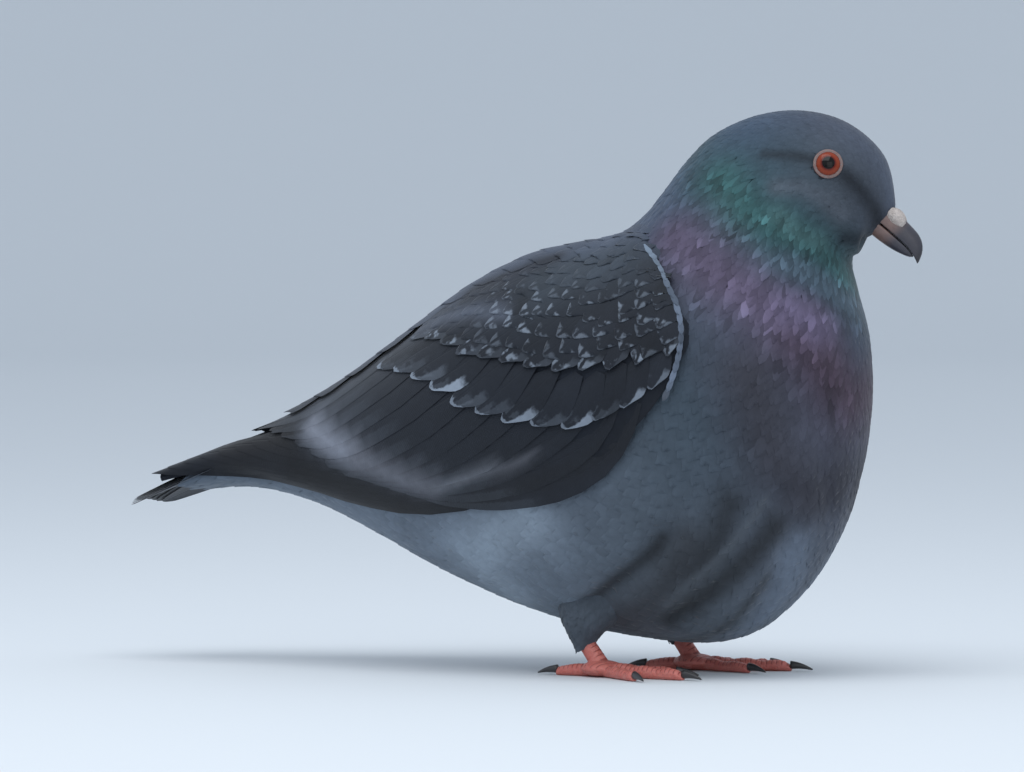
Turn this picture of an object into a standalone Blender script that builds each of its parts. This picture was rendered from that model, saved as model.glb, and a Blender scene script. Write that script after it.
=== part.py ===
"""A blue checker pigeon at rest, life size: solids parted where a person names a bird's parts.

Metres, +Z up. +X is the way the trunk faces and +Y is the bird's left. The feet stand on
Z = 0, and the origin is the middle of the model's footprint. Trunk, neck, head and tail are
one row of rings, parted by thin cuts; the wings are shells that wrap the same rings. Sizes
in the tables are millimetres, and MM turns them to metres.
"""

import math

import bmesh
import bpy
import numpy as np
from mathutils import Matrix, Vector

MM = 0.001
GAP = 0.3  # clearance between neighbouring pieces
RING_CORNERS = 28

# The body's rings from the tail's tip to the bill: the highest and the lowest point of each in
# the bird's middle plane, as x and z, and its half width. The number of a ring, with a fraction
# between two, is a station.
RINGS = (
    ("tail tip", (-197, 53.5), (-197, 50), 19),
    ("tail middle", (-178, 61.5), (-176, 55.5), 19),
    ("tail coverts", (-157, 70.5), (-151, 57.5), 17.5),
    ("rump", (-136, 79.5), (-127, 52.5), 19.5),
    ("vent", (-114, 91.5), (-104, 42.5), 25.5),
    ("flank", (-90, 108), (-80, 31), 34),
    ("belly", (-66, 124.5), (-49, 19.5), 42.5),
    ("keel", (-45, 135), (-15, 12), 48.5),
    ("shoulder", (-28, 140), (19, 11.5), 49.5),
    ("breast", (-17, 143), (41.5, 26.5), 48.5),
    ("crop", (-8.5, 149), (57, 53), 44.5),
    ("neck base", (-2, 157), (63.5, 82), 37),
    ("neck", (4.5, 165.5), (63.5, 105), 29.5),
    ("throat", (13, 173.5), (59.5, 122), 23),
    ("nape", (26.5, 179.5), (57.2, 130.5), 18.8),
    ("crown", (41.5, 181), (57.2, 133.6), 17.2),
    ("eye", (56, 177), (57.8, 134.6), 15.4),
    ("forehead", (67.6, 166.5), (59.5, 135.6), 11.8),
    ("bill base", (71.2, 152), (60.4, 139.2), 5.8),
)
STATION = {name: number for number, (name, _, _, _) in enumerate(RINGS)}
RING_VALUES = np.array([(*top, *bottom, width) for _, top, bottom, width in RINGS], float)

HEAD_TURN = math.radians(14)  # the head looks a little to the bird's left
HEAD_PIVOT = Vector((20, 0, 0))
TURN_START, TURN_END = STATION["crop"], STATION["nape"]
PART_GAP = 0.045  # half the cut between two lengths of the body, in stations

# The folded wing, as stations along the body and angles round its rings: 0 is the flank and 90
# the spine.
WING_OUTLINE = (  # station, angle of the upper edge, angle of the lower edge
    (10.45, 27, 14),
    (10.36, 43, 5),
    (10.05, 58, 3),
    (9.5, 68, 1),
    (8.5, 74, -2),
    (7.3, 77, -8),
    (6.1, 79, -18),
    (5, 81, -28),
    (4, 83, -31),
    (3, 83, -29),
    (2, 82, 0),
    (1.2, 76, 18),
    (0.75, 62, 34),
)
WING_PARTING = 8  # row of the outline where the shield ends and the bare primaries begin
WING_DEPTH = 7.5  # thickness of the folded wing over the shoulder
WING_TIP_DEPTH = 3.0
WING_EDGE = 0.9
WING_CLEARANCE = 1.4
WING_COLUMNS = 8

EYE_RADIUS = 5.5
EYE_AT = (51.2, 12.3, 163)
EYELID_REACH = 0.45  # the socket's rim stands this far from the ball

BILL_ROOT = (66.8, 144.9)  # x and z of the middle of the bill's base
BILL_PITCH = math.radians(-40)
CULMEN = 17.0
BILL_HEIGHT = 5.5
BILL_WIDTH = 4.1
LOWER_BILL = 14.5
LOWER_DEPTH = 4.2
GAPE_FLATNESS = 0.1  # bulge of a mandible past the line where the two meet

FEET = {"right": (-17, -22), "left": (-4, 22)}  # middle of each foot; the left one stands ahead
TOE_OUT = math.radians(9)  # both feet turn outwards
PAD_RADIUS, PAD_HEIGHT = 6.9, 5.4
TOES = (  # name, angle outwards from ahead, reach without claw, half width, number of pads
    ("inner", -28, 24, 2.3, 2),
    ("middle", 3, 32, 2.45, 3),
    ("outer", 34, 26.5, 2.2, 4),
    ("hind", 176, 17, 2.3, 1),
)
TOE_START = 7.2  # the toes begin this far from the middle of the foot
TOE_ROOT_SHARE = 0.76
TOE_TIP_SHARE = 0.7
CLAW_LENGTH = 6.6
TARSUS_RADIUS = 2.9
TARSUS_TAPER = ((0, 1), (0.4, 0.94), (0.8, 0.9), (1, 0.92))  # share of its height, share of its radius
TARSUS_TOP = (-7, 12.5)  # behind and above the middle of the foot
THIGH_RINGS = (  # x, inward y and z from the middle of the foot, then the half length and half width
    (-7.5, 0, 10.5, 5.6, 5.2),
    (-6.5, 0.5, 14, 8.2, 7.2),
    (-4.5, 2.5, 20, 10.5, 8.0),
    (-2, 5, 30, 9.5, 6),
)

COLOURS = {  # name: colour, roughness, metallic
    "slate_plumage": ((0.075, 0.09, 0.115), 0.8, 0.0),
    "neck_plumage": ((0.05, 0.12, 0.11), 0.45, 0.2),
    "grey_plumage": ((0.16, 0.185, 0.22), 0.85, 0.0),
    "wing_plumage": ((0.05, 0.06, 0.075), 0.7, 0.0),
    "flight_plumage": ((0.06, 0.06, 0.068), 0.6, 0.0),
    "tail_plumage": ((0.09, 0.105, 0.125), 0.7, 0.0),
    "eye": ((0.5, 0.11, 0.03), 0.08, 0.0),
    "bill_horn": ((0.045, 0.043, 0.045), 0.4, 0.0),
    "cere": ((0.62, 0.58, 0.55), 0.75, 0.0),
    "leg_skin": ((0.52, 0.17, 0.14), 0.55, 0.0),
    "claw_horn": ((0.03, 0.026, 0.025), 0.35, 0.0),
}


def material(name):
    """The named finish, made once."""
    made = bpy.data.materials.get(name)
    if made:
        return made
    colour, roughness, metallic = COLOURS[name]
    made = bpy.data.materials.new(name)
    made.use_nodes = True
    shader = made.node_tree.nodes["Principled BSDF"]
    shader.inputs["Base Color"].default_value = (*colour, 1)
    shader.inputs["Roughness"].default_value = roughness
    shader.inputs["Metallic"].default_value = metallic
    return made


def solid(name, bm, finish):
    """Makes a bmesh into a named object with its faces pointing out."""
    bmesh.ops.remove_doubles(bm, verts=bm.verts, dist=1e-3)
    bmesh.ops.recalc_face_normals(bm, faces=bm.faces)
    bmesh.ops.scale(bm, vec=(MM, MM, MM), verts=bm.verts)
    mesh = bpy.data.meshes.new(name)
    bm.to_mesh(mesh)
    bm.free()
    mesh.shade_smooth()
    mesh.set_sharp_from_angle(angle=math.radians(40))
    mesh.materials.append(material(finish))
    made = bpy.data.objects.new(name, mesh)
    bpy.context.collection.objects.link(made)
    return made


def add_loop(bm, points):
    """A closed loop of new vertices and edges."""
    corners = [bm.verts.new(p) for p in points]
    return [bm.edges.new((a, b)) for a, b in zip(corners, corners[1:] + corners[:1])]


def bridge(bm, loops):
    """Skins a row of loops and closes both ends."""
    for first, second in zip(loops, loops[1:]):
        bmesh.ops.bridge_loops(bm, edges=first + second)
    for end in (loops[0], loops[-1]):
        bmesh.ops.contextual_create(bm, geom=end)


def cut_away(target, cutter, name):
    """Takes the cutter out of the target, and leaves it as a hidden guide."""
    cut = target.modifiers.new(name, "BOOLEAN")
    cut.operation = "DIFFERENCE"
    cut.object = cutter
    cutter.hide_render = True
    cutter.display_type = "WIRE"


def blended(table, where):
    """Row of the table at a fractional index, on a smooth curve through all rows."""
    first = min(max(int(math.floor(where)), 0), len(table) - 2)
    t = where - first
    p1, p2 = table[first], table[first + 1]
    p0 = table[first - 1] if first else 2 * p1 - p2
    p3 = table[first + 2] if first + 2 < len(table) else 2 * p2 - p1
    return 0.5 * (
        2 * p1 + (p2 - p0) * t + (2 * p0 - 5 * p1 + 4 * p2 - p3) * t**2 + (3 * p1 - p0 - 3 * p2 + p3) * t**3
    )


def smooth_step(value, low, high):
    share = min(max((value - low) / (high - low), 0), 1)
    return share * share * (3 - 2 * share)


def head_turned(point, station=TURN_END):
    """Turns a point of the head, or by a part of the turn a point of the neck, to the bird's left."""
    angle = HEAD_TURN * smooth_step(station, TURN_START, TURN_END)
    return Matrix.Rotation(angle, 3, "Z") @ (Vector(point) - HEAD_PIVOT) + HEAD_PIVOT


def body_point(station, angle, out=0.0):
    """Point on the body's ring: angle 0 is the left flank, 90 the spine and 180 the right flank."""
    top_x, top_z, bottom_x, bottom_z, width = blended(RING_VALUES, station)
    up = Vector((top_x - bottom_x, 0, top_z - bottom_z))
    middle = Vector((top_x + bottom_x, 0, top_z + bottom_z)) / 2
    turn = math.radians(angle)
    sideways = Vector((0, (width + out) * math.cos(turn), 0))
    point = middle + up.normalized() * (up.length / 2 + out) * math.sin(turn) + sideways
    return head_turned(point, station)


def body_length(name, start, end, rings, finish, out=0.0):
    """One closed length of the body between two stations."""
    bm = bmesh.new()
    step = 360 / RING_CORNERS
    stations = np.linspace(start + PART_GAP, end - PART_GAP, rings + 1)
    loops = []
    for station in stations:
        ring = [body_point(station, step * i, out) for i in range(RING_CORNERS)]
        loops.append(add_loop(bm, ring))
    bridge(bm, loops)
    return solid(name, bm, finish)


def wing_depth(station, share):
    """Height of the folded wing over its flat inner face: share runs from its upper to its lower edge."""
    full = WING_TIP_DEPTH
    full += (WING_DEPTH - WING_TIP_DEPTH) * smooth_step(station, STATION["tail tip"], STATION["belly"])
    full *= 1 - 0.55 * smooth_step(station, STATION["shoulder"], WING_OUTLINE[0][0])
    return WING_EDGE + full * math.sin(math.pi * share**1.3) ** 0.8


def wing_point(side, station, upper, lower, share, depth):
    """Point of the wing's shell, at a depth over the body's ring."""
    angle = upper + (lower - upper) * share
    return body_point(station, angle if side > 0 else 180 - angle, depth)


def wing_shell(name, side, first, last, rows, finish):
    """Rows of a folded wing's outline as one crescent round the body, with more rings at its front."""
    bm = bmesh.new()
    loops = []
    shares = np.linspace(0, 1, WING_COLUMNS + 1)
    outline = np.array(WING_OUTLINE, float)
    for turn in np.linspace(math.pi / 2, 0, rows + 1):
        at = blended(outline, last + (first - last) * math.sin(turn))
        outside = [wing_point(side, *at, s, WING_CLEARANCE + wing_depth(at[0], s)) for s in shares]
        inside = [wing_point(side, *at, s, WING_CLEARANCE) for s in shares[::-1]]
        loops.append(add_loop(bm, outside + inside))
    bridge(bm, loops)
    return solid(name, bm, finish)


def tube(name, stations, finish, corners=12, floor=False, above=1, below=1):
    """A closed tube through (centre, direction, half height, half width) stations.

    above and below are the shares of the half height used on each side; floor cuts a flat sole.
    """
    bm = bmesh.new()
    loops = []
    for centre, direction, height, width in stations:
        ahead = Vector(direction).normalized()
        aside = Vector((0, 0, 1)).cross(ahead).normalized() if abs(ahead.z) < 0.99 else Vector((0, 1, 0))
        up = ahead.cross(aside)
        turns = [2 * math.pi * i / corners for i in range(corners)]
        rises = [height * math.sin(a) * (above if math.sin(a) > 0 else below) for a in turns]
        points = [Vector(centre) + aside * width * math.cos(a) + up * rise for a, rise in zip(turns, rises)]
        loops.append(add_loop(bm, points))
    bridge(bm, loops)
    if floor:
        everything = bm.verts[:] + bm.edges[:] + bm.faces[:]
        down = (0, 0, -1)
        cut = bmesh.ops.bisect_plane(bm, geom=everything, plane_no=down, clear_outer=True)
        rim = [edge for edge in cut["geom_cut"] if isinstance(edge, bmesh.types.BMEdge)]
        bmesh.ops.contextual_create(bm, geom=rim)
    return solid(name, bm, finish)


def ball(name, centre, radius, finish, segments=16, squash=(1, 1, 1)):
    """A sphere, or an ellipsoid where squash scales its axes."""
    bm = bmesh.new()
    bmesh.ops.create_uvsphere(bm, u_segments=segments, v_segments=segments // 2, radius=radius)
    bmesh.ops.scale(bm, vec=squash, verts=bm.verts)
    bmesh.ops.translate(bm, vec=centre, verts=bm.verts)
    return solid(name, bm, finish)


def make_body():
    """Trunk, neck and head, each a length of the same row of rings."""
    trunk = body_length("trunk", STATION["rump"], STATION["neck base"], 18, "grey_plumage")
    neck = body_length("neck", STATION["neck base"], STATION["nape"], 7, "neck_plumage")
    head = body_length("head", STATION["nape"], STATION["bill base"], 11, "slate_plumage")
    body_length("tail", STATION["tail tip"], STATION["rump"], 8, "tail_plumage")
    return trunk, neck, head


def make_wings():
    tip = len(WING_OUTLINE) - 1
    for word, side in (("right", -1), ("left", 1)):
        wing_shell(f"wing_{word}", side, 0, WING_PARTING - PART_GAP, 13, "wing_plumage")
        wing_shell(f"primaries_{word}", side, WING_PARTING + PART_GAP, tip, 7, "flight_plumage")


def make_eyes(head):
    """Two balls, each in a socket that the head leaves round it."""
    for word, side in (("right", -1), ("left", 1)):
        centre = head_turned((EYE_AT[0], side * EYE_AT[1], EYE_AT[2]))
        ball(f"eye_{word}", centre, EYE_RADIUS, "eye")
        socket = ball(f"socket_{word}", centre, EYE_RADIUS + EYELID_REACH, "slate_plumage")
        cut_away(head, socket, "eye socket")


def bill_station(along, below, height, width):
    """A station of a mandible in the bill's own direction: below is its drop from the bill's axis."""
    ahead = Vector((math.cos(BILL_PITCH), 0, math.sin(BILL_PITCH)))
    up = Vector((-ahead.z, 0, ahead.x))
    centre = Vector((BILL_ROOT[0], 0, BILL_ROOT[1])) + ahead * along - up * below
    turned = head_turned(centre + ahead) - head_turned(centre)
    return head_turned(centre), turned, height, width


def gape_drop(along):
    """Drop of the gape below the bill's axis: a slow curve, then the hook of the tip."""
    share = along / CULMEN
    return 0.9 * share**2 + 1.5 * max(share - 0.6, 0) ** 2 / 0.16


def widened(stations):
    """The same tube with room for a gap all round it."""
    return [(centre, direction, height + GAP, width + GAP) for centre, direction, height, width in stations]


def make_bill():
    """Upper and lower mandible, and the soft white cere over the nostrils."""
    upper = []
    for share in np.linspace(0, 1, 11):
        height = BILL_HEIGHT * (1 - 0.12 * share) * (1 - share**5 * 0.75)
        width = BILL_WIDTH * (1 - 0.62 * share**0.8) * (1 - share**6 * 0.7)
        drop = gape_drop(CULMEN * share) - GAPE_FLATNESS * height
        upper.append(bill_station(CULMEN * share, drop, height, width))
    tube("bill_upper", upper, "bill_horn", 14, below=GAPE_FLATNESS)
    lower = []
    for share in np.linspace(0, 1, 8):
        depth = LOWER_DEPTH * (1 - 0.6 * share**2)
        width = BILL_WIDTH * 0.92 * (1 - 0.6 * share) * (1 - share**6 * 0.5)
        along = LOWER_BILL * share
        lower.append(bill_station(along, gape_drop(along) + GAP + GAPE_FLATNESS * depth, depth, width))
    tube("bill_lower", lower, "bill_horn", 14, above=GAPE_FLATNESS)
    cere = []
    for share in np.linspace(0, 1, 8):
        bulge = math.sin(math.pi * (0.12 + 0.8 * share)) ** 0.6
        drop = 1.3 - BILL_HEIGHT - 0.9 * bulge
        cere.append(bill_station(0.5 + 7.0 * share, drop, 2.0 * bulge, 3.7 * bulge))
    swelling = tube("cere", cere, "cere", 14)
    beam = tube("cere_seat", widened(upper), "bill_horn", 14, below=GAPE_FLATNESS)
    cut_away(swelling, beam, "seat on the bill")


def toe_stations(root, heading, length, radius, pads):
    """A toe out from the foot's pad: swollen at its own pads, and lower towards its tip."""
    ahead = Vector((math.cos(heading), math.sin(heading), 0))
    stations = []
    for share in np.linspace(0, 1, 2 * pads + 5):
        taper = min(TOE_ROOT_SHARE + 1.6 * share, 1 - (1 - TOE_TIP_SHARE) * share)
        swell = 1 + 0.08 * math.cos(2 * math.pi * (share * pads - 0.5))
        end = math.sqrt(max(1 - max((share - 0.9) / 0.1, 0) ** 2, 0.12))
        half = radius * taper * swell * end
        centre = Vector((*root, half * 0.84)) + ahead * (TOE_START + (length - TOE_START) * share)
        stations.append((centre, ahead, half, half))
    return stations


def claw_stations(root, heading, length):
    """A claw, curved down to a blunt point just over the floor."""
    stations = []
    for share in np.linspace(0, 1, 5):
        drop = share**2 * 1.35
        ahead = Vector((math.cos(heading), math.sin(heading), -0.75 * share))
        reach = Vector((math.cos(heading), math.sin(heading), 0)) * (length + GAP + CLAW_LENGTH * share)
        half = 1.25 * (1 - share) ** 0.8 + 0.3
        stations.append((Vector((*root, 1.95 - drop)) + reach, ahead, half, half * 0.75))
    return stations


def make_legs(trunk):
    """Feet with toes and claws, the bare tarsus, and the feathered thigh that the belly rests on."""
    for word, (x, y) in FEET.items():
        side = 1 if word == "left" else -1
        pad = Vector((x, y, PAD_HEIGHT / 2))
        ball(f"foot_{word}", pad, PAD_RADIUS, "leg_skin", 12, (1, 1, pad.z / PAD_RADIUS))
        for toe, outwards, length, radius, pads in TOES:
            heading = side * (TOE_OUT + math.radians(outwards))
            stations = toe_stations((x, y), heading, length, radius, pads)
            tube(f"toe_{word}_{toe}", stations, "leg_skin", 10, True)
            tube(f"claw_{word}_{toe}", claw_stations((x, y), heading, length), "claw_horn", 8)
        top = Vector((x + TARSUS_TOP[0], y, TARSUS_TOP[1]))
        slope = top - pad
        shaft = []
        for share, slim in TARSUS_TAPER:
            radius = TARSUS_RADIUS * slim
            shaft.append((pad + slope * share, slope, radius, radius))
        tarsus = tube(f"tarsus_{word}", shaft, "leg_skin", 12)
        squash = (1, 1, (pad.z + GAP) / (PAD_RADIUS + GAP))
        seat = ball(f"foot_seat_{word}", pad, PAD_RADIUS + GAP, "leg_skin", 12, squash)
        cut_away(tarsus, seat, "seat on the foot")
        thigh = tube(
            f"thigh_{word}",
            [((x + dx, y - side * dy, z), (0, 0, 1), wide, long) for dx, dy, z, long, wide in THIGH_RINGS],
            "grey_plumage",
            20,
        )
        cut_away(thigh, trunk, "seat on the belly")
        bore = tube(f"thigh_bore_{word}", widened(shaft), "leg_skin", 12)
        cut_away(thigh, bore, "room for the tarsus")


def centre_on_origin():
    """Parents every piece to one empty, moved so that the origin is the middle of the footprint."""
    pieces = [o for o in bpy.data.objects if o.type == "MESH"]
    shown = [o for o in pieces if not o.hide_render]
    corners = np.array([v.co for o in shown for v in o.data.vertices])
    low, high = corners.min(0), corners.max(0)
    stance = bpy.data.objects.new("stance", None)
    bpy.context.collection.objects.link(stance)
    for piece in pieces:
        piece.parent = stance
    stance.location = (-(low[0] + high[0]) / 2, -(low[1] + high[1]) / 2, 0)


def main():
    for old in list(bpy.data.objects):
        bpy.data.objects.remove(old)
    _, _, head = make_body()
    swollen = body_length("trunk_room", STATION["rump"], STATION["neck base"], 18, "grey_plumage", GAP)
    make_wings()
    make_eyes(head)
    make_bill()
    make_legs(swollen)
    centre_on_origin()


main()
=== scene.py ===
# %% [markdown]
# # A blue checker pigeon
# A feral pigeon stands at rest, fluffed up, with its head turned a little to its left. The solids of the
# bird are loaded first, as a fixed frame. Everything below is dressed over them: one skin, then feathers
# from the lowest layer to the highest, then the hard pieces of the head and feet.

# %% Load the frame
import math

import bmesh
import bpy
import numpy as np
from mathutils import Matrix, Vector, kdtree


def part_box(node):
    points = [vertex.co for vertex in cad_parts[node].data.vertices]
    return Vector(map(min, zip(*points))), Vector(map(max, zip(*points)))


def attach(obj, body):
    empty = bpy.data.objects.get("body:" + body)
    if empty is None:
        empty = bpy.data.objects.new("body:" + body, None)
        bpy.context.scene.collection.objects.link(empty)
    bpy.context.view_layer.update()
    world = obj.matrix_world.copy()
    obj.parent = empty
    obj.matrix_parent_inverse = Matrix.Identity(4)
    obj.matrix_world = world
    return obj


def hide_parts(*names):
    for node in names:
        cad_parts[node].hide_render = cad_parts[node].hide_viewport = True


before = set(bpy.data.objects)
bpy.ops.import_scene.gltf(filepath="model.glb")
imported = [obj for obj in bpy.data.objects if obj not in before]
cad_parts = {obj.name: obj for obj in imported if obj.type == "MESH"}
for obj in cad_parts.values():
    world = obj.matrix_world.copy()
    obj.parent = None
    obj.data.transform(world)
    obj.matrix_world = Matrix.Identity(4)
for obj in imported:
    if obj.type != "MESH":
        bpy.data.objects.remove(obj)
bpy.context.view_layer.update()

MM = 0.001
SIDES = (("right", -1), ("left", 1))

# %% [markdown]
# ## The shape of the bird
# A bird's trunk, neck and head are one smooth form. It could be sculpted, but feathers need to know which
# way is backwards and which way is round the body at every spot. So the form is kept as a row of slanted
# oval rings, from the tail's tip to the bill. A *station* is a place in that row, and an *angle* goes round
# the ring: 0 is the left flank, 90 the spine and 180 the right flank. Any spot of the coat is then a
# station and an angle.

# %% The rings
RINGS = np.array([  # x and z of the highest point, x and z of the lowest point, half width, in millimetres
    (-197, 53.5, -197, 50, 19),
    (-178, 61.5, -176, 55.5, 19),
    (-157, 70.5, -151, 57.5, 17.5),
    (-136, 79.5, -127, 52.5, 19.5),
    (-114, 91.5, -104, 42.5, 25.5),
    (-90, 108, -80, 31, 34),
    (-66, 124.5, -49, 19.5, 42.5),
    (-45, 135, -15, 12, 48.5),
    (-28, 140, 19, 11.5, 49.5),
    (-17, 143, 41.5, 26.5, 48.5),
    (-8.5, 149, 57, 53, 44.5),
    (-2, 157, 63.5, 82, 37),
    (4.5, 165.5, 63.5, 105, 29.5),
    (13, 173.5, 59.5, 122, 23),
    (26.5, 179.5, 57.2, 130.5, 18.8),
    (41.5, 181, 57.2, 133.6, 17.2),
    (56, 177, 57.8, 134.6, 15.4),
    (67.6, 166.5, 59.5, 135.6, 11.8),
    (71.2, 152, 60.4, 139.2, 5.8),
    (69.6, 147.7, 64.4, 141.5, 3.2),
], float)
TAIL_TIP, BELLY, CROP, NAPE = 0, 6, 10, 14  # stations
print("rings:", len(RINGS), "and the widest is", 2 * RINGS[:, 4].max(), "mm across")

# %% [markdown]
# A station between two rings needs a ring too. Straight steps from ring to ring would leave creases, so
# every measure runs on a smooth curve through all of them. *ease* is the soft step that is used wherever
# one thing fades into another.

# %% Smooth curves
def blended(table, where):
    """Rows of the table at fractional indices, on a smooth curve through all of them."""
    where = np.asarray(where, float)
    first = np.clip(np.floor(where).astype(int), 0, len(table) - 2)
    t = (where - first)[..., None]
    p1, p2 = table[first], table[first + 1]
    p0 = np.where((first > 0)[..., None], table[np.maximum(first - 1, 0)], 2 * p1 - p2)
    last = (first + 2 < len(table))[..., None]
    p3 = np.where(last, table[np.minimum(first + 2, len(table) - 1)], 2 * p2 - p1)
    slope = (p2 - p0) * t
    bend = (2 * p0 - 5 * p1 + 4 * p2 - p3) * t**2
    return 0.5 * (2 * p1 + slope + bend + (3 * p1 - p0 - 3 * p2 + p3) * t**3)


def ease(value, low, high):
    """0 below low, 1 above high, and a soft step between them."""
    share = np.clip((np.asarray(value, float) - low) / (high - low), 0, 1)
    return share * share * (3 - 2 * share)


print("half way up a soft step:", float(ease(0.5, 0, 1)))

# %% [markdown]
# The head turns about an upright axis in the neck, and the neck follows by a part of that turn. The rings
# are drawn straight, which is simpler, and the turn is added last. The solid of the right eye then tells
# how far the rings' own origin lies from the frame's.

# %% The turned head
HEAD_TURN = math.radians(14)
NECK_AXIS = 20  # x of the axis, in millimetres
EYE_AT = (51.2, 12.3, 163)  # middle of the left eye before the turn
EYE_RADIUS = 5.5


def head_turned(points, station=NAPE):
    """Turns points of the head to the bird's left, and points of the neck by a part of that."""
    turn = HEAD_TURN * ease(station, CROP, NAPE)
    x, y, z = np.moveaxis(np.asarray(points, float), -1, 0)
    return np.stack([
        (x - NECK_AXIS) * np.cos(turn) - y * np.sin(turn) + NECK_AXIS,
        (x - NECK_AXIS) * np.sin(turn) + y * np.cos(turn),
        z + 0 * turn,
    ], -1)


eye_low, eye_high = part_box("eye_right")
FRAME_SHIFT = np.array((eye_low + eye_high) / 2) - head_turned((EYE_AT[0], -EYE_AT[1], EYE_AT[2])) * MM
print("the rings sit in the frame at", FRAME_SHIFT.round(5))

# %% [markdown]
# A station and an angle now give a point. *out* moves it off the body, for whatever lies over the form or
# under it.

# %% Points of the form
def form_points(station, angle, out=0.0):
    """Points of the straight form in millimetres, out millimetres off the ring's own line."""
    station, angle, out = np.broadcast_arrays(np.asarray(station, float), np.asarray(angle, float), out)
    ring = blended(RINGS, station)
    top, bottom, width = ring[..., 0:2], ring[..., 2:4], ring[..., 4]
    up = top - bottom
    height = np.linalg.norm(up, axis=-1)
    turn = np.radians(angle)
    rise = (height / 2 + out) * np.sin(turn) / height
    middle = (top + bottom) / 2
    return np.stack([
        middle[..., 0] + up[..., 0] * rise,
        (width + out) * np.cos(turn),
        middle[..., 1] + up[..., 1] * rise,
    ], -1)


def body_points(station, angle, out=0.0):
    """Points in the frame, in metres, with the head turned."""
    return head_turned(form_points(station, angle, out), station) * MM + FRAME_SHIFT


def elevation(angle):
    """Angle above the flank, from -90 at the keel to 90 at the spine, the same on both sides."""
    return np.degrees(np.arcsin(np.sin(np.radians(angle))))


print("the back between the shoulders is at", body_points(9.0, 90.0).round(4))

# %% [markdown]
# ### Folds of loose plumage
# A fluffed bird isn't a smooth egg: its flank and belly feathers lie in a few soft lobes, with clefts that
# run down towards the legs. Real clefts shade themselves, so each is a shallow furrow in the form, and skin
# and feathers both follow it. Painted shade in and along the clefts is laid on as well, among the patches
# of the plumage's colour below.

# %% The clefts
CLEFTS = (  # station and elevation of its upper and lower end, depth and half width in millimetres
    ((8.3, -30), (7.0, -56), 4.5, 4.6),
    ((9.75, -50), (7.9, -60), 5.0, 5.2),
    ((9.6, -62), (8.6, -76), 2.2, 4.2),
    ((10.5, -60), (9.9, -80), 1.3, 3.6),
    ((6.6, -38), (5.9, -62), 1.8, 5.0),
    ((8.9, -22), (8.2, -44), 1.0, 4.5),
)
CLEFT_ENDS = (0.12, 0.88)  # shares of a cleft's length past which it gets no shallower


def on_left(station, angle):
    """The same spot on the left side of the straight form, in millimetres."""
    return form_points(station, elevation(angle))


def way_from(here, spots):
    """Distance in millimetres from a line through spots of the form, and the share of its length passed."""
    line = form_points(*np.array(spots, float).T)
    nearest, passed = np.full(here.shape[:-1], 1e6), np.zeros(here.shape[:-1])
    for index, (a, b) in enumerate(zip(line, line[1:])):
        share = np.clip(((here - a) @ (b - a)) / ((b - a) @ (b - a)), 0, 1)
        away = np.linalg.norm(here - a - share[..., None] * (b - a), axis=-1)
        passed = np.where(away < nearest, (index + share) / (len(line) - 1), passed)
        nearest = np.minimum(away, nearest)
    return nearest, passed


def relief(station, angle):
    """Millimetres that the loose plumage stands in from the smooth form, as a negative number."""
    here = on_left(station, angle)
    depth = 0.0
    for upper, lower, deep, half in CLEFTS:
        away, passed = way_from(here, (upper, lower))
        along = np.sin(np.pi * np.clip(passed, *CLEFT_ENDS)) ** 0.5
        depth = depth - deep * np.exp(-((away / half) ** 2)) * along
    return depth


def coat_points(station, angle, out=0.0):
    """The body's form with its clefts."""
    return body_points(station, angle, out + relief(np.asarray(station, float), np.asarray(angle, float)))


print("clefts:", len(CLEFTS), "on each side")

# %% [markdown]
# ### The folded wings
# A folded wing lies on the flank as a thin dome. It has its own outline on the body: an upper edge near the
# spine and a lower edge below the flank, station by station. Wing feathers are laid on that dome.

# %% The wing's dome
WING_OUTLINE = np.array([  # station, elevation of the upper edge and of the lower edge
    (10.45, 27, 14), (10.36, 43, 5), (10.05, 58, 3), (9.5, 68, 1), (8.5, 74, -2), (7.3, 77, -8),
    (6.1, 79, -18), (5, 81, -28), (4, 83, -31), (3, 83, -29), (2, 82, 0), (1.2, 76, 18), (0.75, 62, 34),
], float)[::-1]
WING_FRONT = 10.45  # station
EDGE_STEP = 2.3  # millimetres by which the wing's edge stands off the body
DOME_TAIL, DOME_BELLY = 3.0, 7.5  # millimetres that the dome adds at the tail's tip and over the belly


def wing_edges(station):
    """Elevation of the wing's upper edge and of its lower edge."""
    return (np.interp(station, WING_OUTLINE[:, 0], WING_OUTLINE[:, k]) for k in (1, 2))


def wing_height(station, raised):
    """Millimetres from the body's form to the top of the folded wing."""
    upper, lower = wing_edges(station)
    share = np.clip((upper - raised) / (upper - lower), 0, 1)
    full = DOME_TAIL + (DOME_BELLY - DOME_TAIL) * ease(station, TAIL_TIP, BELLY)
    full = full * (1 - 0.55 * ease(station, 8, WING_FRONT))
    tucked = ease(share, -0.02, 0.12) * (1 - 0.75 * ease(station, 9.95, WING_FRONT))
    return EDGE_STEP * tucked + full * np.sin(np.pi * share**1.3) ** 0.8


def wing_points(side):
    """A surface like coat_points for one wing, which takes elevations in place of angles."""

    def points(station, raised, out=0.0):
        angle = raised if side > 0 else 180 - raised
        return body_points(station, angle, out + wing_height(station, raised))

    return points


print("height of the wing over the flank:", round(float(wing_height(8.0, 30.0)), 1), "mm")

# %% [markdown]
# ## Materials
# Feathers, horn and skin need different shaders, but three effects come back in most of them: fine barbs
# along each vane, a soft mottling of the colour, and small grain. Each is a node group, so it is built
# once. The colour itself is worked out where a feather is made and is stored on the mesh, because on a bird
# it belongs to the feather.

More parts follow.
